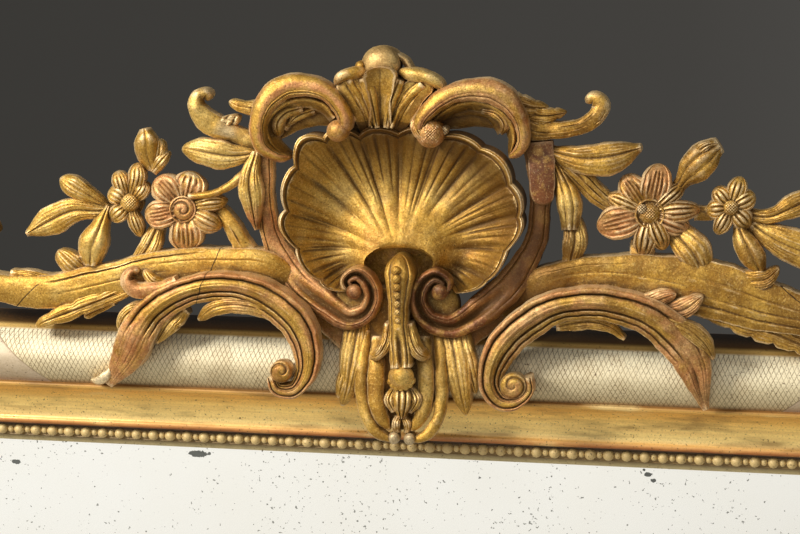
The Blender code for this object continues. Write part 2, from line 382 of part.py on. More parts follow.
    add(leaf([(152, 172, 38), (159, 154, 44), (160, 139, 42)], [5, 8, 5], [5, 7, 5], 5, 1.2, 10, blunt=(False, True)))
    add(leaf([(152, 172, 42), (160, 162, 46), (169, 152, 43)], [5, 6, 4], [5, 6, 4], 4, 1.2, 10, blunt=(False, True)))
    add(leaf([(122, 208, 36), (98, 211, 41), (72, 211, 44), (50, 221, 43), (26, 234, 40)], [3, 7, 13, 15, 3], [3, 7, 13, 14, 2], 5, 1.5, 9))
    add(leaf([(110, 208, 36), (92, 197, 42), (74, 187, 45), (60, 178, 43)], [3, 7, 10, 9], [3, 7, 10, 9], 6, 1.2, 10, blunt=(False, True)))
    add(bud([(108, 206, 36), (100, 224, 43), (93, 245, 47), (91, 266, 43)], [3, 9, 15, 7], 9, 12))
    add(leaf([(104, 222, 40), (88, 238, 47), (82, 258, 47)], [3, 6, 4], [3, 5, 3], 3, 1.2, 10))
    add(leaf([(88, 274, 40), (72, 264, 44), (58, 250, 41)], [9, 12, 8], [7, 10, 6], 5, 1.2, 14, blunt=(False, True)))
    add(leaf([(158, 226, 40), (148, 247, 45), (134, 266, 42)], [8, 11, 7], [7, 10, 6], 4, 1.5, 14, blunt=(False, True)))
    add(sweep([(214, 206, 38), (230, 224, 41), (246, 252, 40)], [7, 8, 10], [7, 8, 10], dome(5), 16))
    add(leaf([(258, 153, 46), (232, 156, 51), (205, 152, 52), (182, 148, 47)], [5, 9, 15, 13, 8], [5, 10, 15, 13, 8], 6, 1.5, 14, blunt=(False, True)))
    add(leaf([(256, 152, 50), (249, 180, 54), (252, 206, 53), (256, 230, 47)], [5, 10, 13, 9, 2], [5, 9, 11, 8, 2], 5, 1.5, 14))

    # Right spray
    add(ball(650, 214, 36, 24, 3, 10))
    petals = [((623, 176), 15), ((660, 164), 16), ((684, 184), 9), ((700, 210), 11), ((689, 230), 12), ((664, 250), 11), ((642, 258), 12), ((597, 228), 17), ((606, 196), 10)]
    for (u, v), width in petals:
        add(petal([(650, 214, 42), ((650 + u) / 2, (214 + v) / 2, 47), (u, v, 43)], [width * 0.55, width, width * 0.85]))
    add(button(650, 214, 42, [(11, -16), (15.5, 0), (16.5, 6), (14, 9.5), (11.5, 7.5), (8, 9.5), (4, 11), (0.3, 11)]))
    add(ball(731, 208, 36, 15, 2, 10))
    petals = [((715, 188), 10), ((741, 177), 10), ((755, 195), 11), ((750, 227), 11), ((716, 234), 9), ((706, 210), 10)]
    for (u, v), width in petals:
        add(petal([(731, 208, 40), ((731 + u) / 2, (208 + v) / 2, 45), (u, v, 42)], [width * 0.55, width, width * 0.85]))
    add(ball(731, 208, 44, 8.8, 8, 18))
    add(bud([(672, 196, 36), (684, 180, 42), (698, 164, 48), (712, 151, 46), (720, 146, 42)], [6, 8, 16, 16, 8], 9, 12))
    add(leaf([(694, 156, 50), (706, 146, 54), (716, 143, 50)], [4, 5, 2], None, 3, 1.2, 12))
    add(bud([(546, 150, 40), (560, 176, 42), (569, 203, 46), (570, 230, 42)], [5, 7, 13, 8], 9, 12))
    add(leaf([(572, 218, 40), (575, 240, 44), (570, 264, 41)], [8, 12, 9], None, 5, 1.5, 16))
    add(leaf([(546, 150, 44), (580, 158, 49), (612, 156, 49), (641, 148, 45)], [4, 11, 14, 4], [4, 15, 19, 4], 6, 1.5, 14))
    add(sweep([(546, 150, 42), (576, 174, 44), (604, 200, 42), (626, 216, 38)], [7, 10, 10, 6], [7, 10, 10, 6], dome(5), 14))
    add(sweep([(642, 240, 38), (642, 256, 42), (645, 274, 40)], [12, 12, 10], [12, 12, 10], dome(5), 16))
    add(leaf([(672, 230, 40), (692, 252, 47), (708, 282, 44)], [12, 19, 4], [10, 15, 3], 5, 1.2, 14))
    add(sweep([(694, 213, 36), (710, 213, 38), (724, 211, 38)], [8, 7, 7], [8, 7, 7], dome(4), 12))
    add(bud([(737, 224, 38), (745, 244, 45), (756, 262, 46), (762, 275, 42)], [5, 11, 12, 5], 8, 14))
    add(leaf([(744, 214, 38), (768, 217, 44), (790, 209, 46), (822, 192, 42)], [5, 8, 13, 2], [5, 7, 11, 2], 5, 1.5, 10))
    add(leaf([(752, 224, 38), (772, 238, 44), (798, 250, 46), (846, 264, 42)], [7, 17, 20, 3], [7, 14, 17, 3], 5, 1.5, 10))
    add(leaf([(745, 216, 38), (762, 232, 38)], [9, 10], None, 4, 1.2, 12))
    return made


def moulding_section(extra=0.0):
    """The profile in metres, grown outwards by extra."""
    points = np.array(MOULDING, float) / 1000
    if extra == 0:
        return points
    around = np.roll(points, -1, axis=0) - np.roll(points, 1, axis=0)
    around /= np.linalg.norm(around, axis=1)[:, None]
    return points + np.stack([-around[:, 1], around[:, 0]], axis=1) * extra


def frame_station(where, section):
    """Section points at a station: where = (point on the outer edge, inward direction, stretch for a mitre)."""
    (x, z), (ix, iz), stretch = where
    t, p = section[:, 0] * stretch, section[:, 1]
    return np.stack([x + ix * t, -p, z + iz * t], axis=1)


def corner_stations(side, first, last, steps):
    """Stations round an upper corner, side -1 or 1, angles from vertical in degrees."""
    centre = (side * (FRAME_WIDTH / 2 - CORNER_RADIUS), FIXING_DROP - CORNER_RADIUS)
    out = []
    for angle in np.radians(np.linspace(first, last, steps)):
        way = (side * np.sin(angle), np.cos(angle))
        out.append(((centre[0] + way[0] * CORNER_RADIUS, centre[1] + way[1] * CORNER_RADIUS), (-way[0], -way[1]), 1.0))
    return out


def member(stations, section, name):
    rings = np.array([frame_station(w, section) for w in stations])
    n, m = len(stations), len(section)
    mesh = body_with_caps(rings, n, m, name)
    return mesh


def body_with_caps(rings, n, m, name):
    faces = []
    for i in range(n - 1):
        for j in range(m):
            a, b = i * m + j, i * m + (j + 1) % m
            faces.append((a, b, b + m, a + m))
    faces.append(tuple(range(m))[::-1])
    faces.append(tuple((n - 1) * m + j for j in range(m)))
    return solid(rings.reshape(-1, 3), faces, name)


def trimmed(stations, gap):
    """The stations with both ends drawn in along the run by half a joint gap."""
    out = list(stations)
    for end, inner in ((0, 1), (-1, -2)):
        (x, z), way, stretch = out[end]
        (x2, z2), _, _ = out[inner]
        run = Vector((x2 - x, z2 - z)).normalized() * gap
        out[end] = ((x + run[0], z + run[1]), way, stretch)
    return out


def frame_members(section):
    half, bottom = FRAME_WIDTH / 2, FIXING_DROP - FRAME_HEIGHT
    mitre = 2**0.5
    s = mitre / 2
    gap = GAP * 0.75
    rail = corner_stations(-1, 45, 0, CORNER_STEPS) + corner_stations(1, 0, 45, CORNER_STEPS)
    left = corner_stations(-1, 45, 90, CORNER_STEPS) + [((-half, bottom), (s, s), mitre)]
    right = corner_stations(1, 45, 90, CORNER_STEPS) + [((half, bottom), (-s, s), mitre)]
    low = [((-half, bottom), (s, s), mitre), ((half, bottom), (-s, s), mitre)]
    return {
        "top_rail": member(trimmed(rail, gap), section, "top_rail"),
        "left_stile": member(trimmed(left, gap), section, "left_stile"),
        "right_stile": member(trimmed(right, gap), section, "right_stile"),
        "bottom_rail": member(trimmed(low, gap), section, "bottom_rail"),
    }


def plate(name, back, front, margin):
    """A flat sheet in the rebate, its upper corners rounded like the rebate."""
    half = FRAME_WIDTH / 2 - REBATE_START - margin
    top, bottom = FIXING_DROP - REBATE_START - margin, FIXING_DROP - FRAME_HEIGHT + REBATE_START + margin
    radius = CORNER_RADIUS - REBATE_START
    outline = []
    for side, first, last in ((1, 0, 90), (-1, 90, 0)):
        turn = [(side * (half - radius + radius * np.sin(a)), top - radius + radius * np.cos(a)) for a in np.radians(np.linspace(first, last, 6))]
        corner = [(side * half, bottom)]
        outline += turn + corner if side == 1 else corner + turn
    rings = np.array([[(x, -p, z) for x, z in outline] for p in (back, front)])
    return body_with_caps(rings, 2, len(outline), name)


def joined(meshes, name):
    """One body from overlapping closed shapes."""
    objects = []
    for i, mesh in enumerate(meshes):
        piece = bpy.data.objects.new(f"{name}_shape_{i:03d}", mesh)
        bpy.context.scene.collection.objects.link(piece)
        objects.append(piece)
    whole = objects[0]
    for other in objects[1:]:
        cut = whole.modifiers.new("join", "BOOLEAN")
        cut.operation, cut.solver, cut.object = "UNION", SOLVER, other
        graph = bpy.context.evaluated_depsgraph_get()
        made = bpy.data.meshes.new_from_object(whole.evaluated_get(graph))
        whole.modifiers.remove(cut)
        whole.data = made
        bpy.data.objects.remove(other)
    whole.name = name
    return whole


SOLVER = "MANIFOLD"


def material(name, colour, metal, rough):
    mat = bpy.data.materials.new(name)
    mat.use_nodes = True
    shader = mat.node_tree.nodes["Principled BSDF"]
    shader.inputs["Base Color"].default_value = (*colour, 1)
    shader.inputs["Metallic"].default_value = metal
    shader.inputs["Roughness"].default_value = rough
    return mat


def main():
    for ob in list(bpy.data.objects):
        bpy.data.objects.remove(ob)
    gold = material("burnished_gold", (0.62, 0.41, 0.14), 0.8, 0.42)
    silvered = material("silver_and_gold_leaf", (0.68, 0.60, 0.40), 0.7, 0.45)
    silver_glass = material("silvered_glass", (0.85, 0.84, 0.80), 1.0, 0.06)
    pine = material("pine_board", (0.36, 0.25, 0.15), 0.0, 0.8)

    for name, mesh in frame_members(moulding_section()).items():
        ob = bpy.data.objects.new(name, mesh)
        bpy.context.scene.collection.objects.link(ob)
        ob.data.materials.append(silvered)

    back = GLASS_FRONT - GLASS_THICKNESS
    for name, low, high, mat in (
        ("mirror_glass", back, GLASS_FRONT - 0.0001, silver_glass),
        ("backboard", back - GAP - BOARD_THICKNESS, back - GAP, pine),
    ):
        ob = bpy.data.objects.new(name, plate(name, low, high, 0.0012))
        bpy.context.scene.collection.objects.link(ob)
        ob.data.materials.append(mat)

    crest = joined(both_halves(), "crest")
    keep_largest(crest)
    thin = crest.modifiers.new("thin", "DECIMATE")
    thin.ratio = CREST_TRIANGLES / sum(len(face.vertices) - 2 for face in crest.data.polygons)
    graph = bpy.context.evaluated_depsgraph_get()
    made = bpy.data.meshes.new_from_object(crest.evaluated_get(graph))
    crest.modifiers.remove(thin)
    crest.data = made
    cutter_mesh = member(
        corner_stations(-1, 45, 0, CORNER_STEPS) + corner_stations(1, 0, 45, CORNER_STEPS), moulding_section(GAP * 1.4), "seat"
    )
    cutter = bpy.data.objects.new("frame_seat", cutter_mesh)
    bpy.context.scene.collection.objects.link(cutter)
    back_block = solid(
        [(x, y, z) for x in (-0.5, 0.5) for y in (-CREST_BACK / 1000, 0.05) for z in (-0.2, 0.35)],
        [(0, 1, 3, 2), (4, 6, 7, 5), (0, 4, 5, 1), (2, 3, 7, 6), (0, 2, 6, 4), (1, 5, 7, 3)],
        "wall_plane",
    )
    plane = bpy.data.objects.new("wall_plane", back_block)
    bpy.context.scene.collection.objects.link(plane)
    for other in (cutter, plane):
        cut = crest.modifiers.new("cut", "BOOLEAN")
        cut.operation, cut.solver, cut.object = "DIFFERENCE", SOLVER, other
        graph = bpy.context.evaluated_depsgraph_get()
        made = bpy.data.meshes.new_from_object(crest.evaluated_get(graph))
        crest.modifiers.remove(cut)
        crest.data = made
        bpy.data.objects.remove(other)
    keep_largest(crest)
    crest.data.materials.clear()
    crest.data.materials.append(gold)
    for face in crest.data.polygons:
        face.use_smooth = False


def keep_largest(ob):
    """Drops crumbs that a cut has left beside the body."""
    work = bmesh.new()
    work.from_mesh(ob.data)
    work.verts.ensure_lookup_table()
    seen, groups = set(), []
    for vert in work.verts:
        if vert.index in seen:
            continue
        stack, group = [vert], []
        seen.add(vert.index)
        while stack:
            one = stack.pop()
            group.append(one)
            for edge in one.link_edges:
                other = edge.other_vert(one)
                if other.index not in seen:
                    seen.add(other.index)
                    stack.append(other)
        groups.append(group)
    groups.sort(key=len)
    print("crest groups", [len(g) for g in groups][-8:])
    for group in groups[:-1]:
        bmesh.ops.delete(work, geom=group, context="VERTS")
    work.to_mesh(ob.data)
    work.free()


main()
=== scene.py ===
import bpy
import numpy as np
from mathutils import Matrix, Vector
from mathutils.bvhtree import BVHTree


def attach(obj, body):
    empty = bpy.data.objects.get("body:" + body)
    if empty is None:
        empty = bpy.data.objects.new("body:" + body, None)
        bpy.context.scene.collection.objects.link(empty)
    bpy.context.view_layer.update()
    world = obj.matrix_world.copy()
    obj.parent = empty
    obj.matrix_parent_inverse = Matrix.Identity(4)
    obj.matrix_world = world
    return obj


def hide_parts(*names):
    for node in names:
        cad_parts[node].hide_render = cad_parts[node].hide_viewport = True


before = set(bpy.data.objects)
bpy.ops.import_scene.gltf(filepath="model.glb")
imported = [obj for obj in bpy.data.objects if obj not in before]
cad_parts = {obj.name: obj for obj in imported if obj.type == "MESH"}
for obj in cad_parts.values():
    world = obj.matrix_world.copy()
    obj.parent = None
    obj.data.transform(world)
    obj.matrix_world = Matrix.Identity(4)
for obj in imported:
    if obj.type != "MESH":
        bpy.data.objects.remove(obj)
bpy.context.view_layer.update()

SCENE = bpy.context.scene

# ---------------------------------------------------------------- set-out, as in the model
FRAME_WIDTH, FRAME_HEIGHT, CORNER_RADIUS, FIXING_DROP = 0.980, 1.410, 0.110, 0.046
REBATE_START, GLASS_FRONT, GLASS_THICKNESS, BOARD_THICKNESS, GAP = 0.088, 0.0110, 0.0040, 0.0055, 0.0003
UNIT, SHEET_FOCUS, SHEET_MIDDLE = 0.00070, 2400.0, (400.0, 267.0)
EYE_AZIMUTH, EYE_HEIGHT = np.radians(10.2), np.radians(10.2)
AIM = np.array([-0.0014, -0.046, 0.095])
OUTWARD = np.array(
    [np.sin(EYE_AZIMUTH) * np.cos(EYE_HEIGHT), -np.cos(EYE_AZIMUTH) * np.cos(EYE_HEIGHT), np.sin(EYE_HEIGHT)]
)
RIGHT = np.array([np.cos(EYE_AZIMUTH), np.sin(EYE_AZIMUTH), 0.0])
UP = np.cross(OUTWARD, RIGHT)
EYE = AIM + OUTWARD * SHEET_FOCUS * UNIT
BEAD_PITCH, BEAD_PHASE = 0.01288, 0.00247

MOULDING = [
    (0, 0), (0, 14), (3, 20), (5.8, 26.5), (8.2, 28), (10.5, 33.5), (14, 38.8), (19, 43), (25, 45.6), (31, 45.2),
    (37, 42.8), (42, 39.4), (46, 36), (46.8, 38.3), (49.1, 38.6), (52.4, 33.6), (57.7, 29), (64.1, 25.6), (70.5, 23.4),
    (75.4, 23), (77.5, 24.6), (80.2, 24.4), (82.1, 20.5), (82.9, 17.3), (83.8, 17.3), (84.6, 16.6), (87.6, 16.9),
    (90.6, 16.6), (91.6, 17.2), (93.1, 15.6), (96.5, 13.6), (96.5, 11.2), (88, 11.2), (88, 0),
]


def at(u, v, p):
    u, v, p = np.broadcast_arrays(np.asarray(u, float), np.asarray(v, float), np.asarray(p, float))
    ray = -OUTWARD * SHEET_FOCUS + RIGHT * (u - SHEET_MIDDLE[0])[..., None] - UP * (v - SHEET_MIDDLE[1])[..., None]
    return EYE + ray * ((-p / 1000 - EYE[1]) / ray[..., 1])[..., None]


def pushed(u, v, p, depth):
    out = at(u, v, p)
    out[..., 1] += np.asarray(depth, float) / 1000
    return out


def smooth(values, s):
    values = np.asarray(values, float)
    n = len(values) - 1
    if n == 0:
        return np.full_like(s, values[0])
    x = np.clip(s, 0, 1) * n
    i = np.minimum(x.astype(int), n - 1)
    t = x - i
    slope = np.gradient(values)
    a, b, da, db = values[i], values[i + 1], slope[i], slope[i + 1]
    return (2 * t**3 - 3 * t**2 + 1) * a + (t**3 - 2 * t**2 + t) * da + (3 * t**2 - 2 * t**3) * b + (t**3 - t**2) * db


def curve(points, s):
    """Points at shares s along a smooth line through the given (u, v, p) points, with their sideways directions."""
    points = np.asarray(points, float)
    step = np.maximum(np.linalg.norm(np.diff(points[:, :2], axis=0), axis=1), 1e-6) ** 0.5
    knots = np.concatenate([[0], np.cumsum(step)])
    slopes = np.gradient(points, knots, axis=0)
    fine = np.linspace(0, knots[-1], 60 * len(points))
    i = np.clip(np.searchsorted(knots, fine, side="right") - 1, 0, len(points) - 2)
    h = (knots[i + 1] - knots[i])[:, None]
    t = (fine - knots[i])[:, None] / h
    line = (
        (2 * t**3 - 3 * t**2 + 1) * points[i]
        + (t**3 - 2 * t**2 + t) * h * slopes[i]
        + (3 * t**2 - 2 * t**3) * points[i + 1]
        + (t**3 - t**2) * h * slopes[i + 1]
    )
    along = np.concatenate([[0], np.cumsum(np.linalg.norm(np.diff(line[:, :2], axis=0), axis=1))])
    out = np.stack([np.interp(s * along[-1], along, line[:, k]) for k in range(3)], axis=1)
    ahead = np.stack([np.interp(np.clip(s + 0.012, 0, 1) * along[-1], along, line[:, k]) for k in range(2)], axis=1)
    behind = np.stack([np.interp(np.clip(s - 0.012, 0, 1) * along[-1], along, line[:, k]) for k in range(2)], axis=1)
    turn = ahead - behind
    turn /= np.maximum(np.linalg.norm(turn, axis=1), 1e-9)[:, None]
    return out, np.stack([-turn[:, 1], turn[:, 0]], axis=1), along[-1]


def wander(u, v, scale=1.0, seed=0.0):
    """The small unevenness of work cut by hand, from -1 to 1."""
    u, v = np.asarray(u) / scale, np.asarray(v) / scale
    return (
        np.sin(0.35 * u + 0.21 * v + 1.3 + seed)
        + np.sin(-0.27 * u + 0.41 * v + 4.1 + 1.7 * seed)
        + 0.6 * np.sin(0.83 * u + 0.57 * v + 0.4 + 2.3 * seed)
        + 0.6 * np.sin(0.61 * u - 0.93 * v + 2.2 + 0.7 * seed)
    ) / 3.2


# ---------------------------------------------------------------- gathering the carving
class Carving:
    """Closed shapes gathered into one mesh, with a tone for each point: 0 old gold, 1 bare bole."""

    def __init__(self):
        self.points, self.faces, self.tones, self.count = [], [], [], 0

    def add(self, points, faces, tone):
        points = np.asarray(points, float).reshape(-1, 3)
        a, b, c = points[faces[:, 0]], points[faces[:, 1]], points[faces[:, 2]]
        d = points[faces[:, 3]]
        middle = points.mean(axis=0)
        volume = np.einsum("ij,ij->i", a - middle, np.cross(b - middle, c - middle)).sum()
        volume += np.einsum("ij,ij->i", a - middle, np.cross(c - middle, d - middle)).sum()
        if volume < 0:
            faces = faces[:, ::-1]
        self.points.append(points)
        self.faces.append(faces + self.count)
        self.tones.append(np.broadcast_to(np.asarray(tone, float), (len(points),)))
        self.count += len(points)

    def loft(self, rings, tone):
        """Quads round and along the rings, and a flat fan of quads over each end."""
        n, m = rings.shape[:2]
        i, j = np.meshgrid(np.arange(n - 1), np.arange(m), indexing="ij")
        a, b = i * m + j, i * m + (j + 1) % m
        faces = np.stack([a, b, b + m, a + m], axis=-1).reshape(-1, 4)
        ends = np.stack([rings[0].mean(axis=0), rings[-1].mean(axis=0)])
        k = np.arange(0, m - 1, 2)
        first = np.stack([np.full_like(k, n * m), (k + 2) % m, k + 1, k], axis=-1)
        last = np.stack([np.full_like(k, n * m + 1), (n - 1) * m + k, (n - 1) * m + k + 1, (n - 1) * m + (k + 2) % m], axis=-1)
        tone = np.broadcast_to(np.asarray(tone, float), (n, m)).reshape(-1)
        tone = np.concatenate([tone, [tone[:m].mean(), tone[-m:].mean()]])
        self.add(np.vstack([rings.reshape(-1, 3), ends]), np.vstack([faces, first, last]), tone)


CREST = Carving()
FINE = 1.0


def sweep(path, left, right, front, deep, tone=0.0, m=17, blunt=(False, False), pitch=2.2, lobes=None, rough=0.35, seed=0.0, reach=0.22):
    """A carved member. left and right are half-widths along it, front(x, s) its section in millimetres, deep its thickness."""
    _, _, length = curve(path, np.array([0.0, 1.0]))
    n = int(np.clip(length / pitch * FINE, 8, 260))
    s = np.linspace(0, 1, n)
    if blunt[0] or blunt[1]:
        bend = 0.5 - 0.5 * np.cos(np.pi * s)
        s = np.where((s < 0.5) if blunt[0] and not blunt[1] else (s > 0.5) if blunt[1] and not blunt[0] else True, 0.4 * s + 0.6 * bend, s)
    line, side, _ = curve(path, s)
    end = np.ones(n)
    if blunt[0]:
        end *= np.sqrt(np.clip(1 - np.clip(1 - s / reach, 0, 0.995) ** 2, 0.01, 1))
    if blunt[1]:
        end *= np.sqrt(np.clip(1 - np.clip(1 - (1 - s) / reach, 0, 0.995) ** 2, 0.01, 1))
    wl, wr = smooth(left, s) * end, smooth(right, s) * end
    if lobes:
        count, cut, lean = lobes
        saw = (s * count + lean) % 1.0
        notch = cut * np.clip(1 - np.abs(saw - 0.5) * 5, 0, 1) * np.sin(np.pi * np.clip(s, 0, 1)) ** 0.5
        wl, wr = wl * (1 - notch), wr * (1 - np.roll(notch, max(1, n // 20)))
    mark = path[0][0] * 0.37 + path[-1][1] * 0.53
    arc = s * length
    wl = wl + 0.45 * np.sin(arc * 0.13 + mark) + 0.28 * np.sin(arc * 0.31 + 2 * mark) + 0.14 * np.sin(arc * 0.7 + mark)
    wr = wr + 0.45 * np.sin(arc * 0.11 + 3 * mark) + 0.28 * np.sin(arc * 0.27 + mark) + 0.14 * np.sin(arc * 0.6 + 2 * mark)
    wl, wr = np.maximum(wl, 0.35), np.maximum(wr, 0.35)
    x = np.sin(np.linspace(-np.pi / 2, np.pi / 2, m)) * 0.35 + np.linspace(-1, 1, m) * 0.65
    back = np.linspace(1, -1, 7 if m % 2 else 6)
    X, S = np.meshgrid(x, s)
    top = line[:, 2:3] + front(X, S) * end[:, None]
    U = line[:, 0:1] + side[:, 0:1] * X * np.where(X < 0, wl[:, None], wr[:, None])
    V = line[:, 1:2] + side[:, 1:2] * X * np.where(X < 0, wl[:, None], wr[:, None])
    top = top + (rough * wander(U, V, 2.4, seed + mark) + 0.35 * rough * wander(V, U, 0.9, seed)) * np.sqrt(1 - 0.9 * X**2)
    XB, SB = np.meshgrid(back, s)
    UB = line[:, 0:1] + side[:, 0:1] * XB * np.where(XB < 0, wl[:, None], wr[:, None])
    VB = line[:, 1:2] + side[:, 1:2] * XB * np.where(XB < 0, wl[:, None], wr[:, None])
    depth = smooth([deep] if np.isscalar(deep) else deep, s)[:, None]
    depth = depth * (0.35 + 0.65 * np.sqrt(1 - 0.92 * XB**2)) * (0.3 + 0.7 * end[:, None])
    rings = np.concatenate([at(U, V, top), pushed(UB, VB, line[:, 2:3] + 0 * XB, depth)], axis=1)
    shade = tone(X, S) if callable(tone) else np.full_like(X, tone)
    shade = np.concatenate([shade, np.broadcast_to(shade[:, -1:], XB.shape)], axis=1)
    CREST.loft(rings, shade)


def gouge(x, where, width, depth):
    return -depth * np.exp(-(((x - where) / width) ** 2))


def dome(height, ribs=0, cut=0.0):
    def front(x, s):
        out = height * np.sqrt(1 - 0.85 * x**2)
        if ribs:
            wave = np.abs(np.sin(ribs * np.pi * (x + 1) / 2 + 0.35 * np.sin(5 * s)))
            out = out - cut * (1 - wave) ** 1.5 * 1.4
        return out

    return front


def folded(height, dip, veins=3, cut=0.7):
    """A leaf: its two sides swell and fall to a midrib groove, with veins cut along them."""

    def front(x, s):
        out = height * np.cos(np.clip(x, -1, 1) * np.pi / 2) ** 0.6 + gouge(x, 0.0, 0.13, dip)
        for k in range(1, veins + 1):
            where = k / (veins + 0.6) * (0.75 + 0.35 * s)
            out = out + (gouge(x, where, 0.05, cut) + gouge(x, -where, 0.05, cut)) * np.sin(np.pi * np.clip(s * 0.9 + 0.1, 0, 1)) ** 0.5
        return out + 0.35 * height * np.abs(x) * np.sin(np.pi * s)

    return front


def flowing(height, lines):
    """A broad smooth swelling with a few long cuts that wander along it: (place, depth, from, to)."""

    def front(x, s):
        out = height * np.sqrt(1 - 0.85 * x**2)
        for k, (where, depth, first, last) in enumerate(lines):
            here = np.clip((s - first) * 14, 0, 1) * np.clip((last - s) * 14, 0, 1)
            out = out + gouge(x, where + 0.06 * np.sin(7 * s + 2 * k), 0.035, depth) * here
            out = out + 0.5 * depth * np.exp(-(((x - where - 0.09) / 0.06) ** 2)) * here
        return out

    return front


def pod(high, grooves=2, cut=1.3):
    """A thick petal: raised edges, a swelling middle and a few deep cuts that fan out."""

    def front(x, s):
        out = high * (1 - 0.75 * np.abs(x) ** 2.6) + 1.3 * np.exp(-(((np.abs(x) - 0.86) / 0.10) ** 2))
        for k in range(grooves):
            where = ((k - (grooves - 1) / 2) * 1.15 / max(grooves, 1)) * (0.55 + 0.6 * s)
            out = out + gouge(x, where, 0.085, cut) * np.clip((0.93 - s) * 9, 0, 1)
        return out + gouge(x, 0.70, 0.05, 0.5 * cut) + gouge(x, -0.70, 0.05, 0.5 * cut)

    return front


def dished(edge, middle, veins=3, cut=0.6):
    def front(x, s):
        out = middle + (edge - middle) * np.abs(x) ** 1.8
        for k in range(veins):
            where = (k - (veins - 1) / 2) * 2 / (veins + 1)
            out = out + gouge(x, where * (0.6 + 0.4 * s), 0.07, cut) * np.sin(np.pi * np.clip(0.08 + 0.92 * s, 0, 1)) ** 0.6
        return out

    return front


def scroll(roll, body, lip, flip=False, leg=0.0, spoon=0.0):
    """A C-scroll: outer roll, quirk, full reeded body and stepped inner lips. Its leg swells to one rounded form."""

    def front(x, s):
        x = -x if flip else x
        fade = np.clip(np.sin(np.pi * np.clip(s, 0.02, 0.98)), 0, 1) ** 0.3
        out = roll * np.sqrt(np.clip(1 - ((x + 0.81) / 0.22) ** 2, 0, 1)) + gouge(x, -0.585, 0.04, 1.4)
        out = out + body * np.clip(1 - ((x + 0.12) / 0.47) ** 2, 0, 1) ** 0.45
        out = out + gouge(x, -0.16, 0.035, 0.5) + gouge(x, 0.09, 0.035, 0.6) + gouge(x, 0.35, 0.045, 1.1)
        out = out + lip * np.sqrt(np.clip(1 - ((x - 0.53) / 0.15) ** 2, 0, 1)) + gouge(x, 0.70, 0.04, 0.7)
        out = out + 0.7 * lip * np.sqrt(np.clip(1 - ((x - 0.86) / 0.15) ** 2, 0, 1)) - 5.0 * np.clip(x + 0.05, 0, 1)
        full = 7.5 * np.sqrt(1 - 0.88 * x**2)
        for k, where in enumerate((-0.68, -0.44, -0.22, 0.02, 0.30, 0.58)):
            full = full + gouge(x, where + 0.05 * np.sin(9 * s + 2 * k), 0.035, 0.75)
        full = full - spoon * np.exp(-(((x - 0.05) / 0.26) ** 2)) * np.exp(-(((s - 0.085) / 0.05) ** 2))
        share = np.clip((leg - s) / 0.12, 0, 1)
        share = share * share * (3 - 2 * share)
        return (out * (1 - share) + full * share) * fade

    return front


def rolled(base, ridge, flip=False):
    """The tone across a scroll: its outer roll worn through to the bole, its hollow gilt."""

    def tone(x, s):
        x = -x if flip else x
        leg = np.clip((0.24 - s) / 0.1, 0, 1)
        return base + (ridge - base) * np.clip((-0.55 - x) / 0.06, 0, 1) * (1 - leg) + 0.22 * leg + 0.10 * np.sin(14 * s + 5 * x)

    return tone


def button(u, v, p, profile, tone=0.0, n=40, dots=0.0):
    angle = np.linspace(0, 2 * np.pi, n, endpoint=False)
    shares = np.linspace(0, 1, len(profile))
    fine = np.linspace(0, 1, 5 * len(profile))
    radius = smooth([r for r, _ in profile], fine)
    high = smooth([h for _, h in profile], fine)
    A, Rr = np.meshgrid(angle, np.maximum(radius, 0.3))
    _, H = np.meshgrid(angle, high)
    U, V = u + Rr * np.cos(A), v + Rr * np.sin(A)
    H = H + dots * np.where(H > 0, np.sin(U * 2.1) * np.sin(V * 2.1), 0)
    rings = pushed(U, V, p + np.maximum(H, 0), np.maximum(-H, 0))
    CREST.loft(rings, tone)


def ball(u, v, p, r, high, deep=12.0, tone=0.0, dots=0.0):
    button(u, v, p, [(r * 0.8, -deep), (r * 0.98, -deep * 0.5), (r, 0), (r * 0.93, high * 0.4), (r * 0.72, high * 0.74), (r * 0.4, high * 0.95), (0.3, high)], tone, dots=dots)


def spiral(u, v, p, r, high, turns, start, tone, flip=1, deep=14.0):
    """The eye of a volute: a disc whose face winds up to its middle."""
    n, steps = 72, 30
    angle = np.linspace(0, 2 * np.pi, n, endpoint=False)
    share = np.linspace(0, 1, steps)
    A, K = np.meshgrid(angle, share)
    Rr = r * (1 - K) + 0.3
    wind = (turns * (1 - K) + flip * (A - start) / (2 * np.pi)) % 1.0
    H = high * (0.35 + 0.65 * np.sqrt(np.clip(1 - (1 - K) ** 2, 0, 1))) - 2.2 * np.exp(-((wind - 0.5) / 0.16) ** 2) * np.sqrt(np.clip((1 - K), 0, 1)) * np.clip(K * 6, 0, 1)
    U, V = u + Rr * np.cos(A), v + Rr * np.sin(A)
    front = at(U, V, p + H)
    back = np.stack([pushed(u + r * q * np.cos(angle), v + r * q * np.sin(angle), p + 0 * angle, deep * d + 0 * angle) for q, d in ((0.8, 1.0), (0.98, 0.5))])
    CREST.loft(np.concatenate([back, front]), tone)


def leaf(path, left, right=None, high=3.5, dip=2.0, deep=9.0, tone=0.0, m=25, blunt=(False, False), veins=3, lobes=None, cut=0.7, seed=0.0):
    sweep(path, left, right or left, folded(high, dip, veins, cut), deep, tone, m, blunt, 1.9, lobes, seed=seed)


def petal(path, width, edge=3.0, middle=-0.8, deep=8.0, tone=0.3, veins=3, cut=0.7, m=19, seed=0.0):
    sweep(path, width, width, pod(edge + 2.5, 2 + (veins > 3) + (len(width) > 2 and max(width) > 12), cut * 2.0), deep + 3, tone, m, (False, True), 1.5, seed=seed, reach=0.35)


def bud(path, width, high=8.0, deep=8.0, tone=0.0, ribs=4, m=25, cut=1.3):
    sweep(path, width, width, dome(high, ribs, cut), deep, tone, m, (False, False), 1.9)


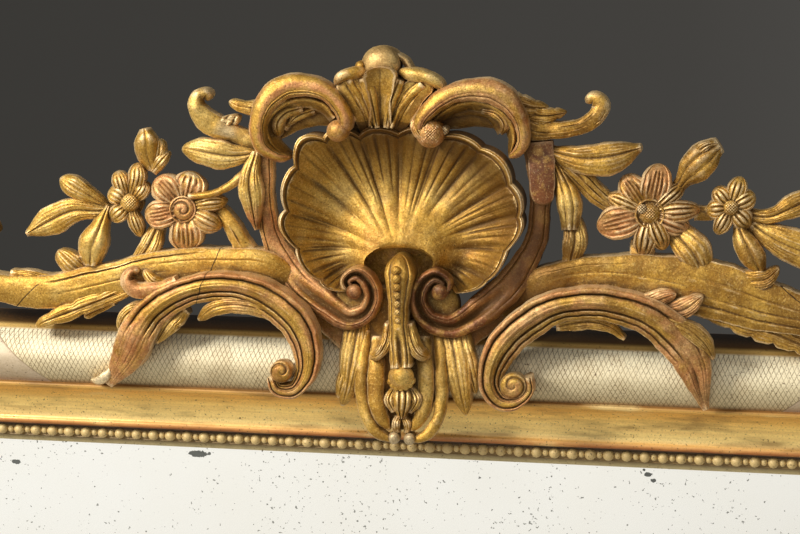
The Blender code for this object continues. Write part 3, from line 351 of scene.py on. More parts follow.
def shell():
    hub = (399.0, 263.0)
    start, stop = np.radians(-118.0), np.radians(118.0)
    rim = [64, 86, 104, 127, 142, 158, 147, 137, 137, 141, 145, 142, 132, 108, 92, 66]
    lobes, columns, steps = 14, 588, 50
    a = np.linspace(0, 1, columns)
    own = a + 0.0085 * np.sin(2 * np.pi * 2.3 * a + 0.8) + 0.004 * np.sin(2 * np.pi * 5.1 * a)
    own = (own - own[0]) / (own[-1] - own[0])
    reach = smooth(rim, a)
    lobe = np.abs(np.sin(np.pi * lobes * own))
    reach = reach * (1.008 - (0.062 - 0.030 * np.clip((a - 0.45) * 6, 0, 1)) * (1 - lobe**0.8) + 0.005 * np.sin(40 * a))
    share = np.concatenate([np.linspace(0.0, 0.925, steps - 17), np.linspace(0.932, 1.0, 17)])
    A, K = np.meshgrid(a, share)
    O = np.broadcast_to(own, A.shape)
    L = np.broadcast_to(lobe, A.shape)
    theta = start + (stop - start) * A
    mouth = 1 / np.sqrt((np.sin(0.82 * theta) / 34.0) ** 2 + (np.cos(0.82 * theta) / 15.5) ** 2)
    Rr = mouth + (np.broadcast_to(reach, A.shape) - mouth) * K
    angle = theta * (0.82 + 0.18 * np.clip(K / 0.97, 0, 1) ** 0.80)
    U, V = hub[0] + Rr * np.sin(angle), hub[1] - Rr * np.cos(angle)
    bowl = 24 - 2 * np.exp(-((K / 0.015) ** 2)) + 20 * np.exp(-((K / 0.34) ** 2)) + (31 - 9 * np.exp(-((theta / 0.55) ** 2))) * K**3.0
    grow = np.clip((K - 0.30) / 0.45, 0, 1)
    fade = np.clip((0.95 - K) * 22, 0, 1)
    rib = 6.6 * (L**0.75 - 0.6) * grow * np.clip((1.02 - K) * 12, 0.35, 1)
    swell = 0.75 + 0.45 * np.sin(11 * A + 0.6) * np.sin(23 * A)
    fine = -2.1 * swell * (1 - np.abs(np.sin(np.pi * lobes * 3 * O + 0.9 * np.sin(9 * A)))) ** 1.7 * np.clip((K - 0.34 - 0.10 * np.sin(31 * A)) / 0.35, 0, 1) * fade
    fine = fine - 0.7 * (1 - np.abs(np.sin(np.pi * lobes * 5 * O + 1.9 * np.sin(7 * A)))) ** 2.4 * np.clip((K - 0.50 + 0.12 * np.sin(19 * A)) / 0.3, 0, 1) * fade
    edge = 3.9 * np.exp(-(((K - 0.978) / 0.016) ** 2)) - 1.9 * np.exp(-(((K - 0.953) / 0.009) ** 2))
    top = bowl + rib + fine + edge + 0.35 * wander(U, V, 2.6, 3.0)
    front = at(U, V, top)
    back = []
    for q, d in ((1.0, 9.0), (0.995, 22.0), (0.75, 13.0), (0.4, 10.0), (0.06, 10.0)):
        k = int(np.argmin(np.abs(share - q)))
        back.append(pushed(U[k], V[k], top[k] if q > 0.9 else bowl[k], np.full(columns, d)))
    ring = np.concatenate([front, np.stack(back)], axis=0).transpose(1, 0, 2)
    rows = len(share)
    tone = np.zeros((columns, ring.shape[1]))
    lip = np.exp(-(((share - 0.984) / 0.016) ** 2))[None, :]
    sides = np.clip((np.abs(a - 0.5) - 0.13) / 0.12, 0, 1)[:, None]
    tone[:, :rows] = 0.04 + lip * (0.25 - 1.35 * sides * (0.75 + 0.25 * np.sin(60 * a)[:, None]))
    CREST.loft(ring, tone)


GILT, WARM, COPPER, BOLE = 0.0, 0.3, 0.6, 1.0


def crest_shapes():
    shell()

    # Web of the board behind the volutes, pendant and lower scrolls
    sweep([(400, 288, 34), (400, 310, 36), (400, 345, 46), (400, 382, 50)], [34, 46, 58, 44], [34, 46, 58, 44], dome(2), [17, 20, 30, 28], 0.1)
    sweep([(300, 292, 30), (330, 318, 34), (355, 340, 44)], [10, 14, 14], [10, 16, 16], dome(2), [16, 20, 26], 0.5)
    sweep([(505, 300, 30), (480, 322, 34), (450, 344, 44)], [12, 16, 16], [10, 14, 14], dome(2), [16, 20, 26], 0.6)
    sweep([(256, 140, 30), (300, 122, 32), (345, 108, 36), (400, 100, 40), (450, 108, 36), (500, 122, 32), (545, 140, 30)], [12, 8, 18, 30, 18, 8, 12], [12, 8, 22, 34, 22, 8, 12], dome(2), 16, 0.1)

    # Finial: hood over an acanthus fan
    button(381.0, 65.0, 50, [(15, -30), (18.5, -12), (19.5, 0), (18.8, 4), (16.5, 8), (12, 11), (6, 12.6), (0.3, 13)], -0.42)
    ball(360, 66, 54, 5, 6, 14, -0.2)
    sweep([(397, 54, 47), (405, 61, 49), (410, 69, 50), (413, 78, 48)], [1, 3, 3, 1], [1, 3, 3, 1], dome(3), 16, -0.5, 15)
    sweep([(368, 70, 54), (353, 73, 60), (341, 77, 62), (335, 85, 59)], [5, 6, 5, 3], [5, 6, 6, 3], dome(5), 22, 0.05, 21, (True, True), reach=0.2)
    sweep([(398, 71, 54), (413, 74, 60), (429, 78, 62), (440, 87, 59), (441, 97, 56)], [5, 6, 5, 5, 3], [6, 7, 6, 5, 3], dome(5), 22, 0.08, 23, (True, True), reach=0.2)
    sweep([(380, 67, 68), (380, 80, 64), (380, 98, 59), (380, 120, 54), (380, 138, 36)], [17, 14, 11, 11, 12], [18, 15, 11, 11, 12], dished(2.6, -2.6, 1), 26, 0.12, 31, (True, False), reach=0.16)
    sweep([(372, 138, 34), (366, 114, 52), (356, 92, 57), (343, 74, 59)], [8, 13, 16, 13], [8, 13, 15, 13], flowing(3.0, [(-0.25, 1.0, 0, 0.9), (0.4, 1.0, 0, 0.9)]), 22, GILT, 35, (False, True), reach=0.15)
    sweep([(372, 128, 50), (363, 104, 56), (349, 80, 60)], [1, 3, 4], [1, 3, 4], dome(3), 20, GILT, 15)
    leaf([(377, 128, 50), (372, 102, 57), (364, 78, 60)], [3, 5, 7, 6], None, 3, 1.5, 24, GILT, veins=0)
    sweep([(390, 138, 34), (400, 114, 52), (413, 94, 57), (430, 78, 59)], [8, 13, 14, 12], [8, 13, 13, 12], flowing(3.0, [(-0.4, 1.0, 0, 0.9), (0.25, 1.0, 0, 0.9)]), 22, GILT, 35, (False, True), reach=0.15)
    sweep([(391, 128, 50), (402, 106, 56), (422, 84, 60)], [1, 3, 4], [1, 3, 4], dome(3), 20, GILT, 15)
    leaf([(386, 128, 50), (391, 102, 57), (399, 80, 60)], [3, 5, 6, 5], None, 3, 1.5, 24, GILT, veins=0)

    # Upper C-scrolls with their inner lips and end curls
    sweep([(291, 158, 50), (275, 156, 54), (262, 146, 57), (258, 130, 59), (261, 111, 60), (271, 97, 60), (287, 87, 60), (305, 86, 60), (322, 91, 60), (336, 103, 60), (344, 118, 60), (344, 133, 58)], [4, 6, 8, 9, 11, 13, 12, 10, 9, 8, 8], [3, 5, 7, 8, 10, 12, 11, 9, 8, 7, 6], lambda x, s: 8.5 * np.sqrt(1 - 0.9 * x**2) + gouge(x, 0.62, 0.05, 1.2) + gouge(x, 0.42, 0.03, 0.5) * np.clip(np.sin(3 * s), 0, 1), 20, lambda x, s: 0.42 + 0.16 * np.sin(5 * x + 3 * s), 35, (True, True), reach=0.06)
    sweep([(288, 156, 46), (274, 144, 50), (268, 128, 51), (274, 115, 52), (288, 105, 52), (306, 102, 52), (322, 107, 52), (333, 119, 51)], [1, 4, 5, 6, 6, 6, 5, 4], [1, 4, 6, 6, 6, 6, 6, 4], lambda x, s: 4.2 * np.sqrt(np.clip(1 - ((x + 0.45) / 0.55) ** 2, 0, 1)) - 5.0 * np.clip(x, 0, 1), 20, 0.2, 25)
    leaf([(302, 108, 44), (286, 113, 48), (277, 124, 50), (279, 137, 47)], [5, 6, 6, 4], [5, 5, 6, 4], 4, 1, 16, 0.25, blunt=(False, True), veins=0)
    leaf([(314, 110, 40), (296, 117, 42), (288, 126, 41)], [4, 5, 3], None, 3, 0.8, 14, 0.1, blunt=(False, True), veins=0)
    sweep([(283, 128, 38), (296, 114, 40), (316, 108, 40), (334, 118, 40)], [7, 9, 9, 6], [5, 4, 4, 4], dome(2), 16, 0.1, 17)
    ball(337.5, 131, 58, 11, 10, 18, 0.42)
    sweep([(509, 158, 50), (519, 151, 54), (523, 137, 57), (520, 119, 59), (509, 103, 60), (492, 92, 60), (471, 90, 60), (450, 95, 60), (433, 106, 60), (421, 120, 60), (417, 134, 58)], [4, 6, 7, 9, 12, 12, 11, 10, 9, 8, 6], [4, 6, 7, 9, 12, 12, 11, 10, 9, 8, 6], lambda x, s: 8.5 * np.sqrt(1 - 0.9 * x**2) + gouge(x, -0.55, 0.05, 1.2) + gouge(x, -0.30, 0.03, 0.6), 20, lambda x, s: 0.46 + 0.2 * np.sin(4 * x - 4 * s), 35, (True, True), reach=0.06)
    sweep([(509, 156, 46), (512, 138, 50), (507, 122, 51), (494, 110, 52), (474, 105, 52), (454, 109, 52), (438, 119, 51), (428, 130, 50)], [1, 4, 6, 6, 6, 6, 5, 4], [1, 4, 5, 6, 6, 6, 5, 4], lambda x, s: 4.2 * np.sqrt(np.clip(1 - ((x - 0.45) / 0.55) ** 2, 0, 1)) - 5.0 * np.clip(-x, 0, 1), 20, 0.2, 25)
    leaf([(482, 110, 47), (496, 114, 50), (504, 124, 50), (502, 135, 46)], [5, 5, 6, 3], [4, 5, 5, 3], 3, 1, 16, 0.35, blunt=(False, True), veins=1)
    sweep([(502, 132, 38), (490, 116, 40), (468, 110, 40), (446, 116, 40)], [5, 5, 5, 4], [6, 8, 8, 6], dome(2), 16, 0.1, 17)
    ball(430, 134, 58, 14, 10, 18, 0.5, 0.5)
    leaf([(420, 112, 56), (416, 126, 61), (424, 140, 62)], [5, 6, 5], None, 4, 1, 16, 0.4, blunt=(True, True), veins=2)
    ball(444, 130.5, 56, 4.5, 5, 12, -1.0, 0.6)
    sweep([(264, 140, 46), (246, 138, 48), (228, 132, 50), (212, 125, 52), (200, 115, 54), (195, 104, 55), (198, 95, 54), (206, 94, 52), (208, 101, 50)], [11, 9, 8, 9, 11, 10, 8, 6, 3], [9, 8, 8, 9, 11, 10, 7, 5, 3], dome(6), 18, lambda x, s: 0.18 - 0.85 * np.exp(-(((s - 0.36) / 0.15) ** 2)) * (x > -0.7), 27, (False, True), reach=0.06, rough=0.9)
    sweep([(240, 116, 47), (230, 121, 50), (219, 124, 52), (208, 128, 52)], [5, 6, 5, 3], [4, 6, 6, 3], lambda x, s: 3.0 * np.sqrt(1 - 0.9 * x**2) + 0.9 * np.sin(23 * s + 4 * x) + 0.6 * np.sin(41 * s - 9 * x), 12, -0.55, 21, (True, True), rough=1.4)
    leaf([(272, 112, 46), (252, 108, 49), (239, 106, 49), (229, 101, 47)], [12, 9, 6, 4], [12, 9, 5, 4], 4, 1.0, 16, 0.1, blunt=(False, True), veins=2)
    sweep([(522, 126, 46), (545, 131, 48), (566, 130, 50), (584, 125, 51), (597, 116, 52), (601, 105, 52), (593, 98, 51), (586, 103, 49)], [19, 12, 9, 7.5, 8, 9, 8, 4], [14, 11, 8.5, 7.5, 8, 9, 8, 4], flowing(6, [(-0.45, 1.0, 0.0, 0.75), (0.2, 0.8, 0.0, 0.6), (0.6, 0.7, 0.1, 0.8)]), 18, 0.1, 27, (False, True), reach=0.06)
    leaf([(486, 94, 50), (510, 103, 52), (532, 108, 50), (548, 108, 46)], [8, 11, 10, 4], [9, 14, 12, 3], 4, 1.5, 18, 0.2, blunt=(False, True), veins=4, lobes=(4, 0.2, 0.4))
    leaf([(524, 112, 48), (544, 116, 50), (566, 113, 45)], [7, 8, 3], [9, 9, 3], 4, 1.5, 18, 0.12, blunt=(False, True), veins=3, lobes=(3, 0.25, 0.4))

    # Straps that carry the scrolls, ending in the volutes under the shell
    def strap(x, s):
        late = np.clip((s - 0.45) / 0.15, 0, 1)
        plain = 3.5 * np.sqrt(1 - 0.85 * x**2) + gouge(x, -0.6, 0.05, 1.0) + gouge(x, 0.6, 0.05, 1.0)
        curl = 5.5 * np.sqrt(np.clip(1 - ((np.abs(x) - 0.62) / 0.42) ** 2, 0, 1)) - 1.5 + gouge(x, 0.0, 0.10, 1.6) + gouge(x, 0.62, 0.04, 1.0) + gouge(x, 0.34, 0.03, 0.8)
        return plain * (1 - late) + curl * late

    ball(358, 302, 44, 23, 6, 16, 0.15)
    ball(436, 306, 42, 24, 5, 16, 0.1)
    ball(354, 291.5, 52, 8, 8, 14, 0.85)
    ball(439.5, 292, 52, 8.5, 8, 14, 0.95)
    button(399, 276, 16, [(46, -3), (47, 0), (40, 1.5), (0.3, 2)], 0.3, 72)
    sweep([(262, 150, 46), (264, 178, 46), (265, 206, 43), (270, 233, 39), (282, 261, 38), (301, 286, 42), (327, 306, 48), (350, 319, 51), (366, 312, 52), (372, 297, 53), (367, 281, 54), (355, 274, 54), (346, 281, 53), (350, 290, 52)], [11, 9, 9, 10, 13, 15, 15, 13, 10, 9, 7, 6], [9, 8, 8, 9, 11, 13, 14, 13, 10, 9, 7, 6], strap, 18, lambda x, s: 0.62 + 0.12 * np.clip((s - 0.5) / 0.2, 0, 1) + 0.18 * np.sin(9 * s + 2 * x), 31, (False, True), reach=0.02)
    # the right strap and the piece over its top are toned nearer bare bole than the left strap: partly their own worn
    # colour, partly painted shade under the upper right scroll
    sweep([(538, 150, 46), (540, 180, 47), (540, 205, 46), (536, 238, 43), (523, 266, 42), (503, 292, 44), (477, 313, 48), (450, 327, 51), (428, 320, 52), (418, 303, 53), (422, 285, 54), (435, 276, 54), (446, 283, 53), (442, 293, 52)], [14, 12, 10, 11, 13, 16, 16, 13, 10, 9, 7, 6], [14, 12, 10, 11, 13, 16, 16, 13, 10, 9, 7, 6], strap, 18, lambda x, s: 0.92 + 0.12 * np.clip((s - 0.5) / 0.2, 0, 1) + 0.16 * np.sin(8 * s + 2 * x), 31, (False, True), reach=0.02)
    sweep([(539, 142, 48), (541, 165, 50.5), (542, 186, 51), (543, 206, 49.5)], [13, 14, 13, 9], [13, 13, 12, 9], dome(2.2), 10, 1.0, 21, (False, True), reach=0.12)

    # Lower C-scrolls over the frame
    left_scroll = [(108, 385, 48), (119, 370, 53), (129, 352, 57), (137, 334, 60), (151, 313, 61), (174, 297, 62), (202, 288, 63), (233, 287, 63), (262, 296, 63), (284, 311, 64), (300, 331, 65), (307, 354, 66), (304, 377, 66), (293, 391, 66), (278, 390, 66), (271, 377, 65)]
    sweep(left_scroll, [4, 16, 18, 15, 14, 13, 14, 16, 16, 12, 8, 5], [4, 16, 18, 16, 15, 14, 15, 17, 16, 12, 8, 5], scroll(4.2, 5.2, 2.6, leg=0.25), [6, 12, 20, 26, 26, 24, 22, 20, 19], rolled(0.38, 0.62), 51)
    spiral(281, 371.5, 63, 11, 8, 1.2, 0.0, 0.4)
    sweep([(111, 366, 50), (107, 375, 52), (99, 380, 51), (91, 380, 47)], [2, 5, 5, 1], [2, 5, 4, 1], dome(3), 8, -0.95, 13)
    leaf([(146, 308, 55), (133, 310, 59), (123, 319, 59), (119, 330, 56)], [5, 7, 7, 4], [5, 7, 7, 4], 3, 1, 18, 0.12, blunt=(True, True), veins=2)
    leaf([(142, 330, 50), (139, 352, 53), (122, 374, 49)], [8, 10, 4], [8, 8, 3], 4, 1.5, 14, 0.5, veins=2)
    right_scroll = [(706, 410, 49), (701, 393, 53), (696, 373, 56), (686, 352, 58), (667, 331, 61), (640, 314, 62), (611, 306, 62), (583, 304, 62), (554, 309, 63), (529, 322, 64), (507, 341, 65), (494, 362, 66), (490, 385, 66), (500, 401, 66), (516, 402, 66), (528, 391, 66), (527, 378, 65)]
    sweep(right_scroll, [3, 15, 20, 18, 17, 16, 16, 18, 17, 13, 9, 6], [3, 15, 21, 19, 17, 16, 16, 17, 16, 12, 8, 5], scroll(4.2, 5.2, 2.6, True, 0.22, 4.5), [6, 12, 20, 26, 26, 24, 22, 20, 19], rolled(0.38, 0.62, True), 51)
    spiral(513, 386, 63, 13, 8, 1.3, 3.0, 0.4, -1)
    leaf([(662, 319, 60), (686, 328, 62), (704, 343, 61), (714, 359, 57)], [4, 7, 8, 2], [5, 8, 8, 2], 3, 1.0, 18, 0.18, blunt=(True, False), veins=3)
    leaf([(292, 330, 52), (266, 312, 56), (238, 305, 58), (214, 308, 57), (198, 320, 52)], [4, 7, 8, 9, 6], [3, 5, 6, 7, 6], 4, 1, 16, 0.3, blunt=(False, True), veins=2)
    leaf([(556, 326, 50), (590, 322, 52), (612, 328, 50), (625, 339, 46)], [5, 8, 7, 2], [5, 8, 7, 2], 3, 1, 12, 0.3)
    leaf([(184, 308, 50), (168, 324, 53), (156, 343, 48)], [9, 11, 3], [7, 9, 3], 4, 1.2, 14, 0.1, veins=3, lobes=(3, 0.18, 0.3))
    leaf([(160, 318, 50), (148, 334, 52), (144, 350, 48)], [8, 8, 3], [6, 7, 3], 3, 1, 12, 0.1, veins=2)
    sweep([(176, 283, 60), (152, 290, 60), (134, 290, 59), (126, 281, 58), (130, 272, 56), (140, 270, 54)], [6, 7, 8, 7, 5, 3], [6, 7, 8, 7, 5, 3], dome(4.5, 1, 0.6), 18, 0.65, 21, (False, True), reach=0.06)
    leaf([(166, 284, 56), (152, 281, 59), (144, 270, 56)], [4, 5, 3], [4, 5, 3], 2, 1, 12, 0.2, blunt=(False, True), veins=1)
    leaf([(640, 306, 54), (655, 302, 56), (676, 294, 56)], [9, 11, 5], [7, 7, 4], 3, 1, 18, 0.5, blunt=(False, True))
    leaf([(664, 314, 54), (684, 310, 56), (703, 296, 56)], [9, 12, 6], [7, 9, 5], 3, 1, 18, 0.5, blunt=(False, True))

    # Long acanthus rails that run out to both ends and turn up
    sweep([(312, 300, 26), (290, 280, 36), (262, 266, 43), (225, 264, 44), (185, 266, 45), (140, 272, 46), (95, 283, 46), (50, 292, 45), (0, 288, 44), (-34, 278, 44), (-52, 256, 44), (-43, 233, 44), (-22, 224, 44), (-3, 233, 43)], [14, 18, 19, 20, 18, 18, 15, 12, 9, 5], [12, 15, 16, 18, 16, 18, 15, 12, 9, 5], flowing(6.5, [(-0.45, 0.45, 0.05, 0.34), (-0.1, 0.6, 0.32, 0.62), (0.3, 0.5, 0.08, 0.42), (0.62, 1.5, 0.24, 0.62)]), 26, lambda x, s: 0.08 + 0.1 * np.sin(6 * s + 3 * x), 49, (False, True), reach=0.04)
    leaf([(138, 284, 45), (104, 299, 48), (70, 312, 49), (44, 322, 49), (36, 327, 46)], [7, 8, 8, 8, 7], [8, 11, 10, 9, 7], 4, 1.6, 24, 0.1, lobes=(4, 0.22, 0.2), blunt=(False, True), veins=2)
    leaf([(112, 300, 40), (84, 317, 38)], [6, 5], None, 2, 1, 14, 0.1, blunt=(False, True))
    leaf([(52, 284, 45), (30, 278, 46), (10, 274, 45)], [5, 5, 3], [9, 8, 4], 2, 0.8, 16, 0.0)
    sweep([(498, 314, 26), (522, 291, 36), (548, 279, 43), (590, 271, 44), (640, 273, 45), (690, 283, 46), (735, 296, 46), (780, 310, 45), (832, 318, 44), (872, 300, 44), (886, 268, 44), (868, 244, 44), (846, 236, 44), (829, 247, 43)], [12, 13, 14, 20, 27, 24, 18, 13, 10, 6], [14, 18, 20, 26, 30, 26, 18, 13, 10, 6], flowing(6.5, [(-0.5, 0.5, 0.08, 0.33), (-0.2, 0.8, 0.38, 0.70), (0.12, 0.5, 0.10, 0.45), (0.30, 1.0, 0.42, 0.75), (0.65, 1.3, 0.30, 0.70)]), 26, lambda x, s: 0.08 + 0.1 * np.sin(6 * s + 3 * x), 53, (False, True), reach=0.04)
    leaf([(700, 306, 44), (745, 322, 44), (790, 340, 42), (828, 358, 38)], [10, 14, 12, 3], [10, 14, 12, 3], 3, 1.5, 20, 0.1, lobes=(6, 0.25, 0.2))
    leaf([(738, 280, 46), (765, 280, 50), (779, 268, 48)], [8, 10, 5], [8, 9, 5], 3, 1, 18, 0.1, blunt=(False, True))

    # Pendant over the frame: tongue, bell flower, bud and the border that hangs round them
    def tongue(x, s):
        groove = np.clip((s - 0.66) / 0.12, 0, 1)
        return 8 * np.sqrt(1 - 0.9 * x**2) + gouge(x, -0.62, 0.10, 1.6) + gouge(x, 0.62, 0.10, 1.6) + groove * gouge(x, 0.0, 0.22, 4.0)

    sweep([(400, 254, 50), (399, 272, 57), (398, 300, 60), (398, 330, 62), (400, 352, 64), (401, 368, 66)], [9, 15, 12, 10, 9, 11, 11], [9, 14, 11, 10, 9, 11, 11], tongue, 28, GILT, 35, (True, False), reach=0.10)
    for k in range(7):
        share = k / 6
        ball(396 + 1.5 * share, 271 + 50 * share, 66.5 + 2.5 * share - 3 * (k == 0), 5.0 - 1.8 * share, 3.6 - 0.9 * share, 6, 0.12, 0.3)
    button(401, 377, 60, [(9, -12), (12, -2), (13, 4), (12, 9), (8, 13), (3, 14.5), (0.3, 15)], GILT)
    for k in range(7):
        way = np.radians(20 + 140 * k / 6)
        ball(401 + 11.5 * np.cos(way), 378 + 10.5 * np.sin(way), 66, 3.2, 2.5, 6, GILT)
    bud([(402, 386, 58), (402, 398, 64), (402, 408, 64), (402, 419, 58)], [6, 9, 8, 3], 6, 12, 0.05, 3, cut=1.8)
    leaf([(394, 388, 58), (389, 400, 63), (394, 412, 62)], [3, 5, 2], None, 3, 1, 10, 0.1, veins=1)
    leaf([(411, 388, 58), (417, 400, 63), (410, 413, 62)], [3, 5, 2], None, 3, 1, 10, 0.1, veins=1)
    leaf([(399, 416, 58), (396, 424, 61), (397, 433, 58)], [3, 4, 3], None, 3, 0.5, 10, GILT, veins=1)
    leaf([(403, 416, 58), (407, 424, 61), (407, 433, 58)], [3, 4, 3], None, 3, 0.5, 10, GILT, veins=1)
    roll = dome(4.5)
    sweep([(377, 336, 42), (376, 366, 55), (376, 398, 59), (380, 416, 60), (390, 430, 60)], [7, 8, 8, 8, 5], [7, 8, 8, 8, 5], roll, 14, 0.08, 19, (False, True))
    sweep([(424, 336, 42), (425, 366, 55), (425, 398, 59), (421, 416, 60), (411, 431, 60)], [7, 8, 8, 8, 5], [7, 8, 8, 8, 5], roll, 14, 0.08, 19, (False, True))
    sweep([(366, 330, 42), (362, 364, 54), (362, 400, 57), (368, 421, 59), (380, 435, 60), (394, 441, 60)], [5, 6, 6, 6, 6, 4], [5, 6, 6, 6, 6, 4], roll, 14, 0.12, 19, (False, True))
    sweep([(438, 330, 42), (441, 364, 54), (441, 400, 57), (436, 422, 59), (424, 437, 60), (409, 442, 60)], [5, 6, 6, 6, 6, 4], [5, 6, 6, 6, 6, 4], roll, 14, 0.12, 19, (False, True))
    sweep([(401, 350, 48), (401, 392, 52), (401, 430, 52)], [34, 34, 16], [34, 34, 16], dome(1), [12, 14, 16], 0.05, 21, (False, True))
    ball(394, 438, 60, 6, 6, 10, -1.0)
    ball(409.5, 439, 60, 6, 6, 10, -1.0)
    leaf([(389, 324, 60), (386, 342, 64), (378, 355, 65), (369, 358, 60)], [4, 6, 6, 4], [4, 6, 6, 4], 4, 1.2, 18, GILT, blunt=(False, True), veins=2)
    leaf([(408, 324, 60), (412, 342, 64), (420, 355, 65), (430, 358, 60)], [4, 6, 6, 4], [4, 6, 6, 4], 4, 1.2, 18, GILT, blunt=(False, True), veins=2)
    # acanthus either side of the pendant
    leaf([(360, 312, 38), (356, 338, 46), (351, 366, 53), (347, 388, 53), (342, 406, 50)], [10, 13, 14, 10, 7], [12, 14, 13, 9, 7], 5, 1.0, 20, GILT, blunt=(False, True), veins=2)
    leaf([(352, 360, 50), (343, 382, 54), (338, 398, 52)], [7, 7, 4], [7, 7, 4], 4, 1.0, 16, GILT, blunt=(False, True), veins=1)
    leaf([(446, 314, 38), (452, 342, 46), (457, 370, 53), (461, 394, 53), (466, 416, 49)], [12, 15, 15, 11, 6], [12, 14, 14, 10, 6], 5, 1.0, 20, 0.05, blunt=(False, True), veins=2)
    leaf([(460, 330, 42), (468, 364, 52), (476, 394, 48)], [9, 9, 4], [9, 8, 4], 4, 1.0, 16, 0.05, blunt=(False, True), veins=1)

    # Left spray
    ball(183, 211, 36, 22, 3, 10, 0.5)
    petal([(180, 209, 42), (162, 214, 47), (145, 217, 44)], [8, 14, 13], tone=0.62, veins=4, cut=1.0)
    petal([(184, 214, 42), (186, 232, 47), (187, 251, 43)], [10, 17, 16], tone=0.45, veins=5, cut=1.0)
    petal([(188, 212, 42), (205, 221, 47), (221, 228, 43)], [7, 11, 9], tone=0.35, veins=3)
    petal([(189, 207, 42), (208, 203, 46), (227, 201, 42)], [6, 9, 8], tone=0.2)
    petal([(185, 203, 42), (189, 188, 46), (193, 172, 43)], [9, 17, 15], tone=lambda x, s: 0.55 - 1.2 * (s > 0.82) * (np.abs(x) < 0.8), veins=3, cut=0.8)
    petal([(179, 204, 42), (168, 191, 47), (156, 178, 43)], [9, 15, 13], tone=0.55, veins=5, cut=1.1)
    button(182.5, 209.5, 42, [(10, -16), (14, 0), (14.5, 5), (12.5, 8), (9.5, 4), (6, 3), (3.5, 7), (0.3, 8)], 0.55)
    spiral(182.5, 210, 46, 12, 5, 1.5, 1.0, 0.55, deep=10)
    sweep([(188, 197, 50), (206, 195, 50), (226, 188, 49), (244, 174, 47), (258, 156, 44)], [3, 3.5, 4, 5, 7], [3, 3.5, 4, 5, 7], dome(4), 12, 0.3, 17)
    ball(129, 202, 36, 15, 2, 10, 0.0)
    petal([(126, 203, 40), (118, 196, 45), (108, 192, 42)], [6, 10, 9], tone=GILT)
    petal([(127, 200, 40), (121, 185, 45), (117, 171, 42)], [5, 8, 8], tone=GILT)
    petal([(130, 199, 40), (136, 181, 45), (138, 163, 42)], [5, 9, 9], tone=GILT)
    petal([(133, 200, 40), (141, 192, 45), (146, 182, 42)], [5, 8, 7], tone=GILT)
    petal([(127, 206, 40), (119, 213, 45), (111, 220, 42)], [6, 9, 8], tone=GILT)
    petal([(131, 207, 40), (135, 222, 45), (141, 237, 42)], [5, 7, 6], tone=GILT)
    ball(129.4, 202.5, 44, 9.7, 8, 18, 0.0, 0.5)
    bud([(152, 170, 38), (148, 153, 44), (145, 137, 46), (144, 129, 42)], [5, 11, 12, 5], 8, 10, GILT, 2, cut=1.0)
    leaf([(152, 172, 38), (159, 154, 44), (160, 139, 42)], [5, 8, 5], [5, 7, 5], 5, 1, 10, GILT, blunt=(False, True), veins=2)
    leaf([(152, 172, 42), (160, 162, 46), (169, 152, 43)], [5, 6, 4], [5, 6, 4], 4, 1, 10, GILT, blunt=(False, True), veins=1)
    leaf([(122, 208, 36), (98, 211, 41), (72, 211, 44), (50, 221, 43), (26, 234, 40)], [3, 7, 13, 15, 3], [3, 7, 13, 14, 2], 5, 1.5, 9, 0.05, veins=3)
    leaf([(110, 208, 36), (92, 197, 42), (74, 187, 45), (60, 178, 43)], [3, 7, 10, 9], [3, 7, 10, 9], 6, 0.8, 10, GILT, blunt=(False, True), veins=2)
    bud([(108, 206, 36), (100, 224, 43), (93, 245, 47), (91, 266, 43)], [3, 9, 15, 7], 9, 12, GILT, 2, cut=1.2)
    leaf([(104, 222, 40), (88, 238, 47), (82, 258, 47)], [3, 6, 4], [3, 5, 3], 3, 1, 10, GILT, veins=1)
    leaf([(88, 274, 40), (72, 264, 44), (58, 250, 41)], [9, 12, 8], [7, 10, 6], 5, 1.2, 14, GILT, blunt=(False, True), veins=2)
    leaf([(158, 226, 40), (148, 247, 45), (134, 266, 42)], [8, 11, 7], [7, 10, 6], 4, 1.5, 14, 0.05, veins=3, blunt=(False, True))
    sweep([(214, 206, 38), (230, 224, 41), (246, 252, 40)], [7, 8, 10], [7, 8, 10], flowing(5, [(0.2, 0.9, 0.1, 0.9)]), 16, 0.05, 19)
    leaf([(258, 153, 46), (232, 156, 51), (205, 152, 52), (182, 148, 47)], [5, 9, 15, 13, 8], [5, 10, 15, 13, 8], 6, 1.5, 14, GILT, blunt=(False, True), veins=3)
    leaf([(256, 152, 50), (249, 180, 54), (252, 206, 53), (256, 230, 47)], [5, 10, 13, 9, 2], [5, 9, 11, 8, 2], 5, 1.5, 14, lambda x, s: 0.1 + 0.7 * np.clip((s - 0.6) / 0.3, 0, 1) + 0 * x, veins=3)

